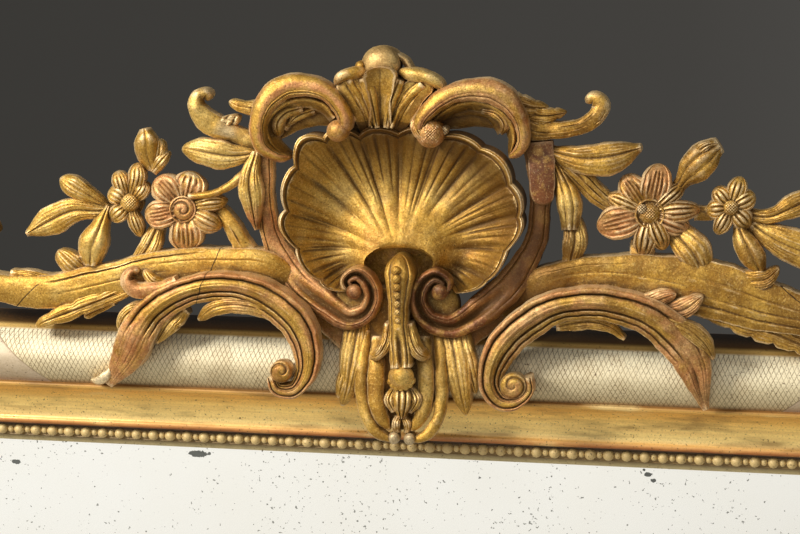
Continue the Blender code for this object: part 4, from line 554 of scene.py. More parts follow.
    # Right spray
    ball(650, 214, 36, 24, 3, 10, 0.5)
    petals = [((623, 176), 15, 4), ((660, 164), 16, 5), ((684, 184), 9, 2), ((700, 210), 11, 3), ((689, 230), 12, 3), ((664, 250), 11, 3), ((642, 258), 12, 3), ((597, 228), 17, 5), ((606, 196), 10, 3)]
    for k, ((u, v), width, veins) in enumerate(petals):
        petal([(650, 214, 42), ((650 + u) / 2, (214 + v) / 2, 47 + k % 2), (u, v, 43)], [width * 0.55, width, width * 0.85], tone=0.42 + 0.16 * np.sin(2.1 * k), veins=veins, cut=1.0)
    button(650, 214, 42, [(11, -16), (15.5, 0), (16.5, 6), (14, 9.5), (11.5, 7.5), (8, 9.5), (4, 11), (0.3, 11)], 0.35, dots=0.5)
    ball(642, 209, 51, 5, 3, 6, -1.0, 0.6)
    ball(731, 208, 36, 15, 2, 10, 0.1)
    petals = [((715, 188), 10), ((741, 177), 10), ((755, 195), 11), ((750, 227), 11), ((716, 234), 9), ((706, 210), 10)]
    for (u, v), width in petals:
        petal([(731, 208, 40), ((731 + u) / 2, (208 + v) / 2, 45), (u, v, 42)], [width * 0.55, width, width * 0.85], tone=0.12, veins=3, cut=0.9)
    ball(731, 208, 44, 8.8, 8, 18, 0.1, 0.4)
    bud([(672, 196, 36), (684, 180, 42), (698, 164, 48), (712, 151, 46), (720, 146, 42)], [6, 8, 16, 16, 8], 9, 12, 0.1, 3, cut=1.0)
    leaf([(694, 156, 50), (706, 146, 54), (716, 143, 50)], [4, 5, 2], None, 3, 1, 12, 0.15, veins=1)
    bud([(546, 150, 40), (560, 176, 42), (569, 203, 46), (570, 230, 42)], [5, 7, 13, 8], 9, 12, 0.05, 3, cut=1.0)
    leaf([(572, 218, 40), (575, 240, 44), (570, 264, 41)], [8, 12, 9], None, 5, 1.5, 16, 0.1, veins=3)
    leaf([(546, 150, 44), (580, 158, 49), (612, 156, 49), (641, 148, 45)], [4, 11, 14, 4], [4, 15, 19, 4], 6, 1.5, 14, 0.05, veins=3)
    sweep([(546, 150, 42), (576, 174, 44), (604, 200, 42), (626, 216, 38)], [7, 10, 10, 6], [7, 10, 10, 6], flowing(5, [(-0.5, 1.2, 0, 1), (0.0, 1.4, 0, 1), (0.5, 1.2, 0, 1)]), 14, 0.05, 27)
    sweep([(642, 240, 38), (642, 256, 42), (645, 274, 40)], [12, 12, 10], [12, 12, 10], flowing(5, [(-0.4, 1.0, 0, 1), (0.2, 1.0, 0, 1)]), 16, 0.25, 21)
    leaf([(672, 230, 40), (692, 252, 47), (708, 282, 44)], [12, 19, 4], [10, 15, 3], 5, 1.2, 14, -0.1, veins=2)
    sweep([(694, 213, 36), (710, 213, 38), (724, 211, 38)], [8, 7, 7], [8, 7, 7], dome(4), 12, 0.1, 15)
    bud([(737, 224, 38), (745, 244, 45), (756, 262, 46), (762, 275, 42)], [5, 11, 12, 5], 8, 14, 0.05, 2, cut=1.2)
    leaf([(744, 214, 38), (768, 217, 44), (790, 209, 46), (822, 192, 42)], [5, 8, 13, 2], [5, 7, 11, 2], 5, 1.5, 10, 0.1, veins=3)
    leaf([(752, 224, 38), (772, 238, 44), (798, 250, 46), (846, 264, 42)], [7, 17, 20, 3], [7, 14, 17, 3], 5, 1.5, 10, 0.05, veins=4)
    leaf([(745, 216, 38), (762, 232, 38)], [9, 10], None, 4, 1, 12, 0.05)


# ---------------------------------------------------------------- meshes
def mesh_object(name, points, faces, sharp=None, body="root"):
    mesh = bpy.data.meshes.new(name)
    points = np.asarray(points, np.float32).reshape(-1, 3)
    faces = np.asarray(faces, np.int32)
    size = faces.shape[1]
    mesh.vertices.add(len(points))
    mesh.vertices.foreach_set("co", points.ravel())
    mesh.loops.add(faces.size)
    mesh.loops.foreach_set("vertex_index", faces.ravel())
    mesh.polygons.add(len(faces))
    mesh.polygons.foreach_set("loop_start", np.arange(len(faces), dtype=np.int32) * size)
    mesh.polygons.foreach_set("loop_total", np.full(len(faces), size, np.int32))
    mesh.update(calc_edges=True)
    mesh.validate()
    mesh.shade_smooth()
    if sharp:
        mesh.set_sharp_from_angle(angle=np.radians(sharp))
    ob = bpy.data.objects.new(name, mesh)
    SCENE.collection.objects.link(ob)
    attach(ob, body)
    return ob


def set_values(ob, name, values):
    layer = ob.data.attributes.new(name, "FLOAT", "POINT")
    layer.data.foreach_set("value", np.asarray(values, np.float32))


def set_vectors(ob, name, values):
    layer = ob.data.attributes.new(name, "FLOAT_VECTOR", "POINT")
    layer.data.foreach_set("vector", np.asarray(values, np.float32).ravel())


def points_of(ob):
    out = np.empty(len(ob.data.vertices) * 3, np.float32)
    ob.data.vertices.foreach_get("co", out)
    return out.reshape(-1, 3).astype(float)


def normals_of(ob):
    out = np.empty(len(ob.data.vertices) * 3, np.float32)
    ob.data.vertices.foreach_get("normal", out)
    return out.reshape(-1, 3).astype(float)


def ridges(ob, rounds=2):
    """How far each point stands over its neighbours along its normal, per edge length: over 0 on ridges."""
    points, normals = points_of(ob), normals_of(ob)
    ends = np.empty(len(ob.data.edges) * 2, np.int32)
    ob.data.edges.foreach_get("vertices", ends)
    ends = ends.reshape(-1, 2)
    total, count, length = np.zeros_like(points), np.zeros(len(points)), np.zeros(len(points))
    span = np.linalg.norm(points[ends[:, 0]] - points[ends[:, 1]], axis=1)
    for a, b in ((0, 1), (1, 0)):
        np.add.at(total, ends[:, a], points[ends[:, b]])
        np.add.at(count, ends[:, a], 1)
        np.add.at(length, ends[:, a], span)
    count = np.maximum(count, 1)
    out = np.einsum("ij,ij->i", points - total / count[:, None], normals) / np.maximum(length / count, 1e-6)
    for _ in range(rounds):
        spread = np.zeros(len(points))
        for a, b in ((0, 1), (1, 0)):
            np.add.at(spread, ends[:, a], out[ends[:, b]])
        out = 0.5 * out + 0.5 * spread / count
    return out


def hollows(ob, tree, reach=0.012, rays=10):
    """The share of short rays over each point that meet something: 1 deep in a recess."""
    points, normals = points_of(ob), normals_of(ob)
    out = np.zeros(len(points))
    golden = np.pi * (3 - 5**0.5)
    base = []
    for k in range(rays):
        z = 1 - (k + 0.5) / rays * 0.85
        r = (1 - z * z) ** 0.5
        base.append((r * np.cos(golden * k), r * np.sin(golden * k), z))
    base = np.array(base)
    helper = np.where(np.abs(normals[:, 2:3]) < 0.9, [[0, 0, 1.0]], [[1.0, 0, 0]])
    side = np.cross(normals, helper)
    side /= np.maximum(np.linalg.norm(side, axis=1), 1e-9)[:, None]
    other = np.cross(normals, side)
    start = points + normals * 0.0006
    for i in range(len(points)):
        if normals[i, 1] > 0.45:
            continue
        ways = base[:, 0:1] * side[i] + base[:, 1:2] * other[i] + base[:, 2:3] * normals[i]
        origin = Vector(start[i])
        hit = 0.0
        for way in ways:
            found = tree.ray_cast(origin, Vector(way), reach)
            if found[3] is not None:
                hit += 1 - 0.6 * found[3] / reach
        out[i] = hit / rays
    return out


# ---------------------------------------------------------------- frame
def resampled(profile, most=2.2):
    """The profile with its long runs cut up, its curves eased, in millimetres."""
    points = np.array(profile, float)
    soft = (6, 14), (16, 22)
    out = []
    for i in range(len(points)):
        a, b = points[i], points[(i + 1) % len(points)]
        in_curve = any(lo - 1 <= i < hi for lo, hi in soft) or i in (24, 25, 26, 27)
        n = max(1, int(np.linalg.norm(b - a) / (1.3 if in_curve else 14.0)) + (1 if in_curve else 0))
        for k in range(n):
            t = k / n
            if in_curve and 0 < i < len(points) - 2 and k:
                p0, p3 = points[i - 1], points[i + 2]
                q = 0.5 * ((2 * a) + (b - p0) * t + (2 * p0 - 5 * a + 4 * b - p3) * t * t + (3 * a - p0 - 3 * b + p3) * t**3)
                out.append(q)
            else:
                out.append(a + (b - a) * t)
    return np.array(out)


def corner_stations(side, first, last, steps):
    centre = (side * (FRAME_WIDTH / 2 - CORNER_RADIUS), FIXING_DROP - CORNER_RADIUS)
    out = []
    for angle in np.radians(np.linspace(first, last, steps)):
        way = (side * np.sin(angle), np.cos(angle))
        out.append(((centre[0] + way[0] * CORNER_RADIUS, centre[1] + way[1] * CORNER_RADIUS), (-way[0], -way[1]), 1.0))
    return out


def straight(a, b, steps):
    """Stations between two that share a direction, ends left out."""
    (xa, za), wa, sa = a
    (xb, zb), wb, sb = b
    return [((xa + (xb - xa) * t, za + (zb - za) * t), wa if sa == 1 else wb, 1.0) for t in np.linspace(0, 1, steps + 2)[1:-1]]


def moulding(name, stations, run_start, bead_runs):
    """A length of moulding with its bead course. Each point keeps where it is along and across the moulding."""
    profile = resampled(MOULDING)
    n, m = len(stations), len(profile)
    rings = np.zeros((n, m, 3))
    lay = np.zeros((n, m, 3))
    run = run_start
    for i, ((x, z), (ix, iz), stretch) in enumerate(stations):
        if i:
            (px, pz) = stations[i - 1][0]
            run += float(np.hypot(x - px, z - pz))
        t, p = profile[:, 0] / 1000 * stretch, profile[:, 1] / 1000
        rings[i] = np.stack([x + ix * t, -p, z + iz * t], axis=1)
        lay[i, :, 0] = run
        lay[i, :, 1] = profile[:, 0] / 1000
        lay[i, :, 2] = profile[:, 1] / 1000
    i, j = np.meshgrid(np.arange(n - 1), np.arange(m), indexing="ij")
    a, b = i * m + j, i * m + (j + 1) % m
    faces = np.stack([a, b, b + m, a + m], axis=-1).reshape(-1, 4)
    points, lays = [rings.reshape(-1, 3)], [lay.reshape(-1, 3)]
    # bead course
    radius = 0.0041
    ring_n, rows = 12, 6
    angle = np.linspace(0, 2 * np.pi, ring_n, endpoint=False)
    count = sum(len(q) for q in points)
    bead_faces = []
    for (x, z, dx, dz, wobble) in bead_runs:
        along, into = np.array([dx, 0, dz]), np.array([dz, 0, -dx])
        for reel in (False, True):
            centre = np.array([x, -0.0172, z]) + (along * BEAD_PITCH / 2 if reel else 0)
            high = radius * (1 + 0.05 * wobble) if not reel else 0.0021
            long = radius * (1 + 0.06 * wobble) if not reel else 0.0023
            wide = radius * 0.97 if not reel else 0.0026
            centre = centre + (into * 0.0 if not reel else 0)
            rows_p = []
            for k in range(rows):
                lat = np.pi / 2 * k / (rows - 1) * 0.94
                r, h = np.cos(lat), np.sin(lat)
                rows_p.append(centre + np.outer(np.cos(angle) * r * long, along) + np.outer(np.sin(angle) * r * wide, into) + np.array([0, -h * high, 0]))
            low = centre + np.outer(np.cos(angle) * long, along) + np.outer(np.sin(angle) * wide, into) + np.array([0, 0.0012, 0])
            stack = np.concatenate([low[None], np.array(rows_p)])
            kk, jj = np.meshgrid(np.arange(rows), np.arange(ring_n), indexing="ij")
            a2, b2 = kk * ring_n + jj, kk * ring_n + (jj + 1) % ring_n
            quads = np.stack([a2, b2, b2 + ring_n, a2 + ring_n], axis=-1).reshape(-1, 4)
            k2 = np.arange(0, ring_n, 2)
            top = rows * ring_n
            capq = np.stack([top + k2, top + (k2 + 1) % ring_n, top + (k2 + 2) % ring_n, np.full_like(k2, (rows + 1) * ring_n)], axis=-1)
            pts = np.concatenate([stack.reshape(-1, 3), (centre + np.array([0, -high, 0]))[None]])
            points.append(pts)
            lays.append(np.tile([[run_start, 0.0880, 0.021]], (len(pts), 1)))
            bead_faces.append(np.concatenate([quads, capq]) + count)
            count += len(pts)
    every = np.concatenate([faces] + bead_faces)
    points, lays = np.concatenate(points), np.concatenate(lays)
    ob = mesh_object(name, points, every, 40)
    set_vectors(ob, "lay", lays)
    return ob


def flipped_if_needed(ob):
    """Closes the ends and turns each loose shell's faces outwards."""
    bm = bmesh.new()
    bm.from_mesh(ob.data)
    bmesh.ops.holes_fill(bm, edges=[e for e in bm.edges if e.is_boundary], sides=0)
    bmesh.ops.recalc_face_normals(bm, faces=bm.faces)
    bm.to_mesh(ob.data)
    bm.free()


import bmesh

half, bottom = FRAME_WIDTH / 2, FIXING_DROP - FRAME_HEIGHT
root2 = 2**0.5
ARC = np.pi / 4 * CORNER_RADIUS


def beads_along(a, b, phase=0.0):
    """Bead places from a to b, (x, z) points on the bead line."""
    a, b = np.array(a), np.array(b)
    length = np.linalg.norm(b - a)
    way = (b - a) / length
    out = []
    s = phase % BEAD_PITCH
    while s < length:
        q = a + way * s
        out.append((q[0], q[1], way[0], way[1], np.sin(q[0] * 911 + q[1] * 577)))
        s += BEAD_PITCH
    return out


def beads_round(side, first, last, centre, radius):
    out = []
    step = BEAD_PITCH / radius
    n = max(1, int(round(abs(np.radians(last - first)) / step)))
    for k in range(n):
        angle = np.radians(first + (last - first) * (k + 0.5) / n)
        x, z = centre[0] + side * np.sin(angle) * radius, centre[1] + np.cos(angle) * radius
        out.append((x, z, side * np.cos(angle), -np.sin(angle), 0.2))
    return out


BEAD_LINE = 0.0876
turn_x, turn_z = half - CORNER_RADIUS, FIXING_DROP - CORNER_RADIUS
inner_radius = CORNER_RADIUS - BEAD_LINE
top_left, top_right = ((-turn_x, FIXING_DROP), (0, -1), 1.0), ((turn_x, FIXING_DROP), (0, -1), 1.0)
rail = corner_stations(-1, 45, 0, 13) + straight(top_left, top_right, 90) + corner_stations(1, 0, 45, 13)
bead_z = FIXING_DROP - BEAD_LINE
phase = (BEAD_PHASE + turn_x) % BEAD_PITCH
top_beads = beads_along((-turn_x, bead_z), (turn_x, bead_z), phase)
top_beads += beads_round(-1, 0, 45, (-turn_x, turn_z), inner_radius) + beads_round(1, 0, 45, (turn_x, turn_z), inner_radius)
top = moulding("top_rail_moulding", rail, -turn_x - ARC, top_beads)

left_low, right_low = ((-half, bottom), (1 / root2, 1 / root2), root2), ((half, bottom), (-1 / root2, 1 / root2), root2)
left_top, right_top = ((-half, turn_z), (1, 0), 1.0), ((half, turn_z), (-1, 0), 1.0)
PAST = 0.0985
left_end, right_end = ((-half, bottom + PAST), (1, 0), 1.0), ((half, bottom + PAST), (-1, 0), 1.0)
side_x = half - BEAD_LINE
stile = corner_stations(-1, 45, 90, 13) + straight(left_top, left_end, 60) + [left_end, left_low]
left_beads = beads_along((-side_x, turn_z), (-side_x, bottom + BEAD_LINE), 0.006) + beads_round(-1, 45, 90, (-turn_x, turn_z), inner_radius)
left = moulding("left_stile_moulding", stile, 0.0, left_beads)
stile = corner_stations(1, 45, 90, 13) + straight(right_top, right_end, 60) + [right_end, right_low]
right_beads = beads_along((side_x, turn_z), (side_x, bottom + BEAD_LINE), 0.006) + beads_round(1, 45, 90, (turn_x, turn_z), inner_radius)
right = moulding("right_stile_moulding", stile, 0.0, right_beads)
low_a, low_b = ((-half + PAST, bottom), (0, 1), 1.0), ((half - PAST, bottom), (0, 1), 1.0)
low = [left_low, low_a] + straight(low_a, low_b, 60) + [low_b, right_low]
low_beads = beads_along((-side_x, bottom + BEAD_LINE), (side_x, bottom + BEAD_LINE), 0.006)
base = moulding("bottom_rail_moulding", low, -half, low_beads)
for ob, node in ((top, "top_rail"), (left, "left_stile"), (right, "right_stile"), (base, "bottom_rail")):
    flipped_if_needed(ob)
    ob.data.shade_smooth()
    ob.data.set_sharp_from_angle(angle=np.radians(38))
    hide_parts(node)

# ---------------------------------------------------------------- crest
crest_shapes()
crest = mesh_object("crest_carving", np.concatenate(CREST.points), np.concatenate(CREST.faces), 50)
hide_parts("crest")
set_values(crest, "tone", np.concatenate(CREST.tones))
set_values(crest, "ridge", ridges(crest))
# fewer faces where the surface is smooth
ease = crest.modifiers.new("ease", "DECIMATE")
ease.ratio = 193000 / sum(len(p.vertices) - 2 for p in crest.data.polygons)
slim = bpy.data.meshes.new_from_object(crest.evaluated_get(bpy.context.evaluated_depsgraph_get()))
crest.modifiers.clear()
crest.data = slim
crest.data.shade_smooth()
crest.data.set_sharp_from_angle(angle=np.radians(50))
kept = np.zeros(len(slim.vertices), np.float32)
slim.attributes["tone"].data.foreach_get("value", kept)
print("tone kept", float(kept.min()), float(kept.max()), len(kept))
set_values(crest, "behind", np.clip((normals_of(crest)[:, 1] - 0.25) / 0.3, 0, 1))
tree = BVHTree.FromPolygons(
    [tuple(q) for q in np.concatenate([points_of(crest), points_of(top)])],
    [tuple(p.vertices) for p in crest.data.polygons]
    + [tuple(len(crest.data.vertices) + k for k in p.vertices) for p in top.data.polygons],
)
set_values(crest, "hollow", hollows(crest, tree))
print("crest triangles", sum(len(p.vertices) - 2 for p in crest.data.polygons), "rail", sum(len(p.vertices) - 2 for p in top.data.polygons))


# ---------------------------------------------------------------- materials
class Nodes:
    """Short hand for building a node tree."""

    def __init__(self, name):
        self.mat = bpy.data.materials.new(name)
        self.mat.use_nodes = True
        self.tree = self.mat.node_tree
        self.shader = self.tree.nodes["Principled BSDF"]

    def new(self, kind, **values):
        node = self.tree.nodes.new(kind)
        for key, value in values.items():
            setattr(node, key, value)
        return node

    def link(self, a, b):
        self.tree.links.new(a, b)

    def attribute(self, name):
        node = self.new("ShaderNodeAttribute")
        node.attribute_type = "GEOMETRY"
        node.attribute_name = name
        return node

    def noise(self, scale, detail=4.0, rough=0.6, vector=None, stretch=None, distortion=0.0):
        if vector is None:
            vector = self.coordinates()
        if stretch:
            mapping = self.new("ShaderNodeMapping")
            mapping.inputs["Scale"].default_value = stretch
            self.link(vector, mapping.inputs["Vector"])
            vector = mapping.outputs["Vector"]
        node = self.new("ShaderNodeTexNoise")
        node.inputs["Scale"].default_value = scale
        node.inputs["Detail"].default_value = detail
        node.inputs["Roughness"].default_value = rough
        node.inputs["Distortion"].default_value = distortion
        self.link(vector, node.inputs["Vector"])
        return node.outputs["Fac"]

    def coordinates(self):
        if not hasattr(self, "coords"):
            self.coords = self.new("ShaderNodeTexCoord").outputs["Object"]
        return self.coords

    def math(self, operation, a, b=None, c=None, clamp=False):
        node = self.new("ShaderNodeMath", operation=operation, use_clamp=clamp)
        for socket, value in zip(node.inputs, (a, b, c)):
            if value is None:
                continue
            if isinstance(value, (int, float)):
                socket.default_value = value
            else:
                self.link(value, socket)
        return node.outputs[0]

    def ramp(self, value, stops, colour=True):
        node = self.new("ShaderNodeValToRGB")
        ramp = node.color_ramp
        while len(ramp.elements) < len(stops):
            ramp.elements.new(0.5)
        for element, (place, shade) in zip(ramp.elements, stops):
            element.position = place
            element.color = (*shade, 1) if isinstance(shade, tuple) else (shade, shade, shade, 1)
        self.link(value, node.inputs["Fac"])
        return node.outputs["Color"]

    def mix(self, amount, a, b, blend="MIX"):
        node = self.new("ShaderNodeMix", data_type="RGBA", blend_type=blend, clamp_factor=True)
        for socket, value in ((node.inputs[0], amount), (node.inputs[6], a), (node.inputs[7], b)):
            if isinstance(value, tuple):
                socket.default_value = (*value, 1)
            elif isinstance(value, (int, float)):
                socket.default_value = value
            else:
                self.link(value, socket)
        return node.outputs[2]

    def bump(self, height, strength, distance, below=None):
        node = self.new("ShaderNodeBump")
        node.inputs["Strength"].default_value = strength
        node.inputs["Distance"].default_value = distance
        self.link(height, node.inputs["Height"])
        if below is not None:
            self.link(below, node.inputs["Normal"])
        return node.outputs["Normal"]


def srgb(r, g, b):
    out = []
    for c in (r, g, b):
        c = c / 255
        out.append(c / 12.92 if c <= 0.04045 else ((c + 0.055) / 1.055) ** 2.4)
    return tuple(out)


def carved_gilding():
    n = Nodes("worn_gilding_over_bole")
    tone, ridge, hollow = (n.attribute(k).outputs["Fac"] for k in ("tone", "ridge", "hollow"))
    patches = n.noise(38, 5, 0.62)
    grain = n.noise(760, 4, 0.7)
    specks = n.noise(1100, 2, 0.5)
    cloud = n.noise(14, 3, 0.5)
    gold = n.ramp(n.math("MULTIPLY_ADD", patches, 0.55, n.math("MULTIPLY", cloud, 0.45)), [(0.34, srgb(160, 112, 30)), (0.5, srgb(208, 162, 68)), (0.64, srgb(240, 206, 120))])
    copper = n.ramp(patches, [(0.3, srgb(158, 92, 44)), (0.52, srgb(208, 148, 92)), (0.7, srgb(236, 190, 130))])
    bole = n.ramp(patches, [(0.3, srgb(58, 24, 8)), (0.52, srgb(104, 52, 22)), (0.72, srgb(160, 96, 50))])
    streaky = n.math("ADD", n.math("MULTIPLY", n.math("SUBTRACT", patches, 0.5), 0.9), n.math("MULTIPLY", n.math("SUBTRACT", n.noise(110, 4, 0.65), 0.5), 0.7))
    toned = n.math("ADD", tone, streaky, clamp=True)
    colour = n.mix(n.ramp(toned, [(0.28, 0.0), (0.52, 1.0)], False), gold, copper)
    colour = n.mix(n.ramp(toned, [(0.72, 0.0), (0.95, 1.0)], False), colour, bole)
    # islands of leaf left on the bare bole
    islands = n.ramp(n.noise(75, 5, 0.7), [(0.52, 0.0), (0.62, 1.0)], False)
    colour = n.mix(n.math("MULTIPLY", islands, 0.5), colour, srgb(212, 168, 84))
    colour = n.mix(n.ramp(n.math("ADD", tone, 1.0), [(0.15, 1.0), (0.8, 0.0)], False), colour, srgb(228, 208, 166))
    # where a point lies from the bowl of the shell
    away = n.new("ShaderNodeVectorMath", operation="SUBTRACT")
    n.link(n.coordinates(), away.inputs[0])
    away.inputs[1].default_value = tuple(at(399, 240, 35.0))
    flat = n.new("ShaderNodeVectorMath", operation="MULTIPLY")
    n.link(away.outputs["Vector"], flat.inputs[0])
    flat.inputs[1].default_value = (0.95, 0.0, 1.15)
    reach = n.new("ShaderNodeVectorMath", operation="LENGTH")
    n.link(flat.outputs["Vector"], reach.inputs[0])
    # old lustreless brown left between the cleaner places; its share grows towards the right, painted shade on the side
    # away from the key light
    dull_and_side_shade = n.ramp(n.noise(52, 5, 0.72), [(0.43, 0.62), (0.58, 0.0)], False)
    spot = n.new("ShaderNodeSeparateXYZ")
    n.link(away.outputs["Vector"], spot.inputs[0])
    dull_and_side_shade = n.math("MULTIPLY", dull_and_side_shade, n.ramp(n.math("MULTIPLY_ADD", spot.outputs[0], 2.0, 0.5), [(0.28, 0.32), (0.72, 1.0)], False))
    dull_and_side_shade = n.math("MULTIPLY", dull_and_side_shade, n.ramp(tone, [(0.6, 1.0), (0.85, 0.15)], False))
    colour = n.mix(dull_and_side_shade, colour, srgb(126, 88, 36))
    # ridges worn thin, where the leaf is thin and pale clay or bole shows through; the same pale colour on every ridge
    # is also painted highlight
    rub_and_highlight_amount = n.math("ADD", n.math("MULTIPLY", ridge, 5.0), n.math("MULTIPLY", n.math("SUBTRACT", n.noise(90, 4, 0.7), 0.5), 1.1))
    rub_wear_and_highlight = n.ramp(rub_and_highlight_amount, [(0.25, 0.0), (0.75, 1.0)], False)
    rub_wear_and_highlight = n.math("MULTIPLY", rub_wear_and_highlight, n.ramp(n.math("MULTIPLY", reach.outputs["Value"], 10.0), [(0.30, 0.0), (0.48, 1.0)], False))
    rub_wear_and_highlight = n.math("MULTIPLY", rub_wear_and_highlight, n.ramp(tone, [(0.6, 1.0), (0.9, 0.25)], False))
    colour = n.mix(n.math("MULTIPLY", rub_wear_and_highlight, 0.72), colour, srgb(250, 222, 172))
    # dirt in the recesses, and painted shade: the ray-cast occlusion of each point darkens the colour where light is
    # shut out
    deep = n.math("ADD", n.math("MULTIPLY", hollow, 1.6), n.math("ADD", n.math("MULTIPLY", ridge, -6.0), n.math("MULTIPLY", n.math("SUBTRACT", patches, 0.5), 0.6)))
    grime_and_painted_shade = n.ramp(deep, [(0.15, 0.0), (0.80, 1.0)], False)
    colour = n.mix(n.math("MULTIPLY", grime_and_painted_shade, 0.85), colour, srgb(86, 58, 22))
    # fine rubbing marks, pale specks on the grain that are painted glints, and dark specks of age
    marks = n.ramp(grain, [(0.38, 1.0), (0.55, 0.0)], False)
    colour = n.mix(n.math("MULTIPLY", marks, 0.42), colour, srgb(108, 70, 20))
    colour = n.mix(n.math("MULTIPLY", n.ramp(grain, [(0.56, 0.0), (0.66, 1.0)], False), 0.30), colour, srgb(248, 220, 146))
    colour = n.mix(n.ramp(specks, [(0.30, 0.85), (0.36, 0.0)], False), colour, srgb(56, 34, 12))
    # painted shade: the upper part of the bowl and the surfaces set back behind its rim darkened to brown
    part = n.new("ShaderNodeSeparateXYZ")
    n.link(away.outputs["Vector"], part.inputs[0])
    ringed = n.ramp(n.math("ADD", n.math("MULTIPLY", reach.outputs["Value"], 5.0), n.math("MULTIPLY", n.math("SUBTRACT", patches, 0.5), 0.16)), [(0.20, 0.0), (0.40, 1.0), (0.56, 1.0), (0.66, 0.0)], False)
    sunk = n.math("GREATER_THAN", part.outputs[1], -0.016)
    upper = n.ramp(n.math("MULTIPLY_ADD", part.outputs[0], 13.0, n.math("MULTIPLY_ADD", part.outputs[2], 9.0, 0.45)), [(0.15, 0.05), (0.70, 1.0)], False)
    kept = n.ramp(n.math("ADD", tone, 1.0), [(0.3, 0.0), (0.9, 1.0)], False)
    brown = n.math("MULTIPLY", n.math("MULTIPLY", ringed, n.math("MULTIPLY", sunk, kept)), n.math("MULTIPLY", upper, 0.72))
    colour = n.mix(brown, colour, srgb(92, 58, 12))
    # splits in the wood
    for (ua, va), (ub, vb), size in (((220, 246), (199, 299), 0.024), ((36, 288), (14, 307), 0.014), ((785, 291), (800, 305), 0.014)):
        a, b = at(ua, va, 50.0), at(ub, vb, 55.0)
        way = np.array([-(b - a)[2], 0.0, (b - a)[0]])
        way /= np.linalg.norm(way)
        away = n.new("ShaderNodeVectorMath", operation="SUBTRACT")
        n.link(n.coordinates(), away.inputs[0])
        away.inputs[1].default_value = tuple((a + b) / 2)
        side = n.new("ShaderNodeVectorMath", operation="DOT_PRODUCT")
        n.link(away.outputs["Vector"], side.inputs[0])
        side.inputs[1].default_value = tuple(way)
        wide = n.new("ShaderNodeVectorMath", operation="LENGTH")
        n.link(away.outputs["Vector"], wide.inputs[0])
        bent = n.math("ADD", side.outputs["Value"], n.math("MULTIPLY", n.math("SUBTRACT", n.noise(45, 3, 0.5), 0.5), 0.006))
        split = n.math("MULTIPLY", n.math("LESS_THAN", n.math("ABSOLUTE", bent), 0.00042), n.math("LESS_THAN", wide.outputs["Value"], size))
        colour = n.mix(n.math("MULTIPLY", split, 0.85), colour, srgb(52, 32, 14))
    # the back of the carving has only a thin ochre wash over the wood
    behind = n.attribute("behind").outputs["Fac"]
    washed = n.ramp(n.noise(24, 5, 0.65, stretch=(1.0, 1.0, 5.0)), [(0.3, srgb(104, 74, 42)), (0.5, srgb(142, 106, 60)), (0.7, srgb(170, 132, 78))])
    colour = n.mix(behind, colour, washed)
    n.link(colour, n.shader.inputs["Base Color"])
    metal = n.math("MULTIPLY", n.math("SUBTRACT", 1.0, n.math("MULTIPLY", grime_and_painted_shade, 0.7)), n.ramp(toned, [(0.3, 0.62), (0.9, 0.30)], False))
    metal = n.math("MULTIPLY", metal, n.math("SUBTRACT", 1.0, behind))
    n.link(metal, n.shader.inputs["Metallic"])
    rough = n.math("ADD", n.math("MULTIPLY", grain, 0.30), n.math("MULTIPLY_ADD", grime_and_painted_shade, 0.22, 0.33), clamp=True)
    rough = n.math("ADD", rough, n.math("MULTIPLY", behind, 0.3), clamp=True)
    n.link(rough, n.shader.inputs["Roughness"])
    low = n.bump(n.noise(150, 4, 0.6), 0.45, 0.0016)
    low = n.bump(n.noise(60, 3, 0.5), 0.35, 0.003, low)
    n.link(n.bump(grain, 0.55, 0.0005, low), n.shader.inputs["Normal"])
    return n.mat


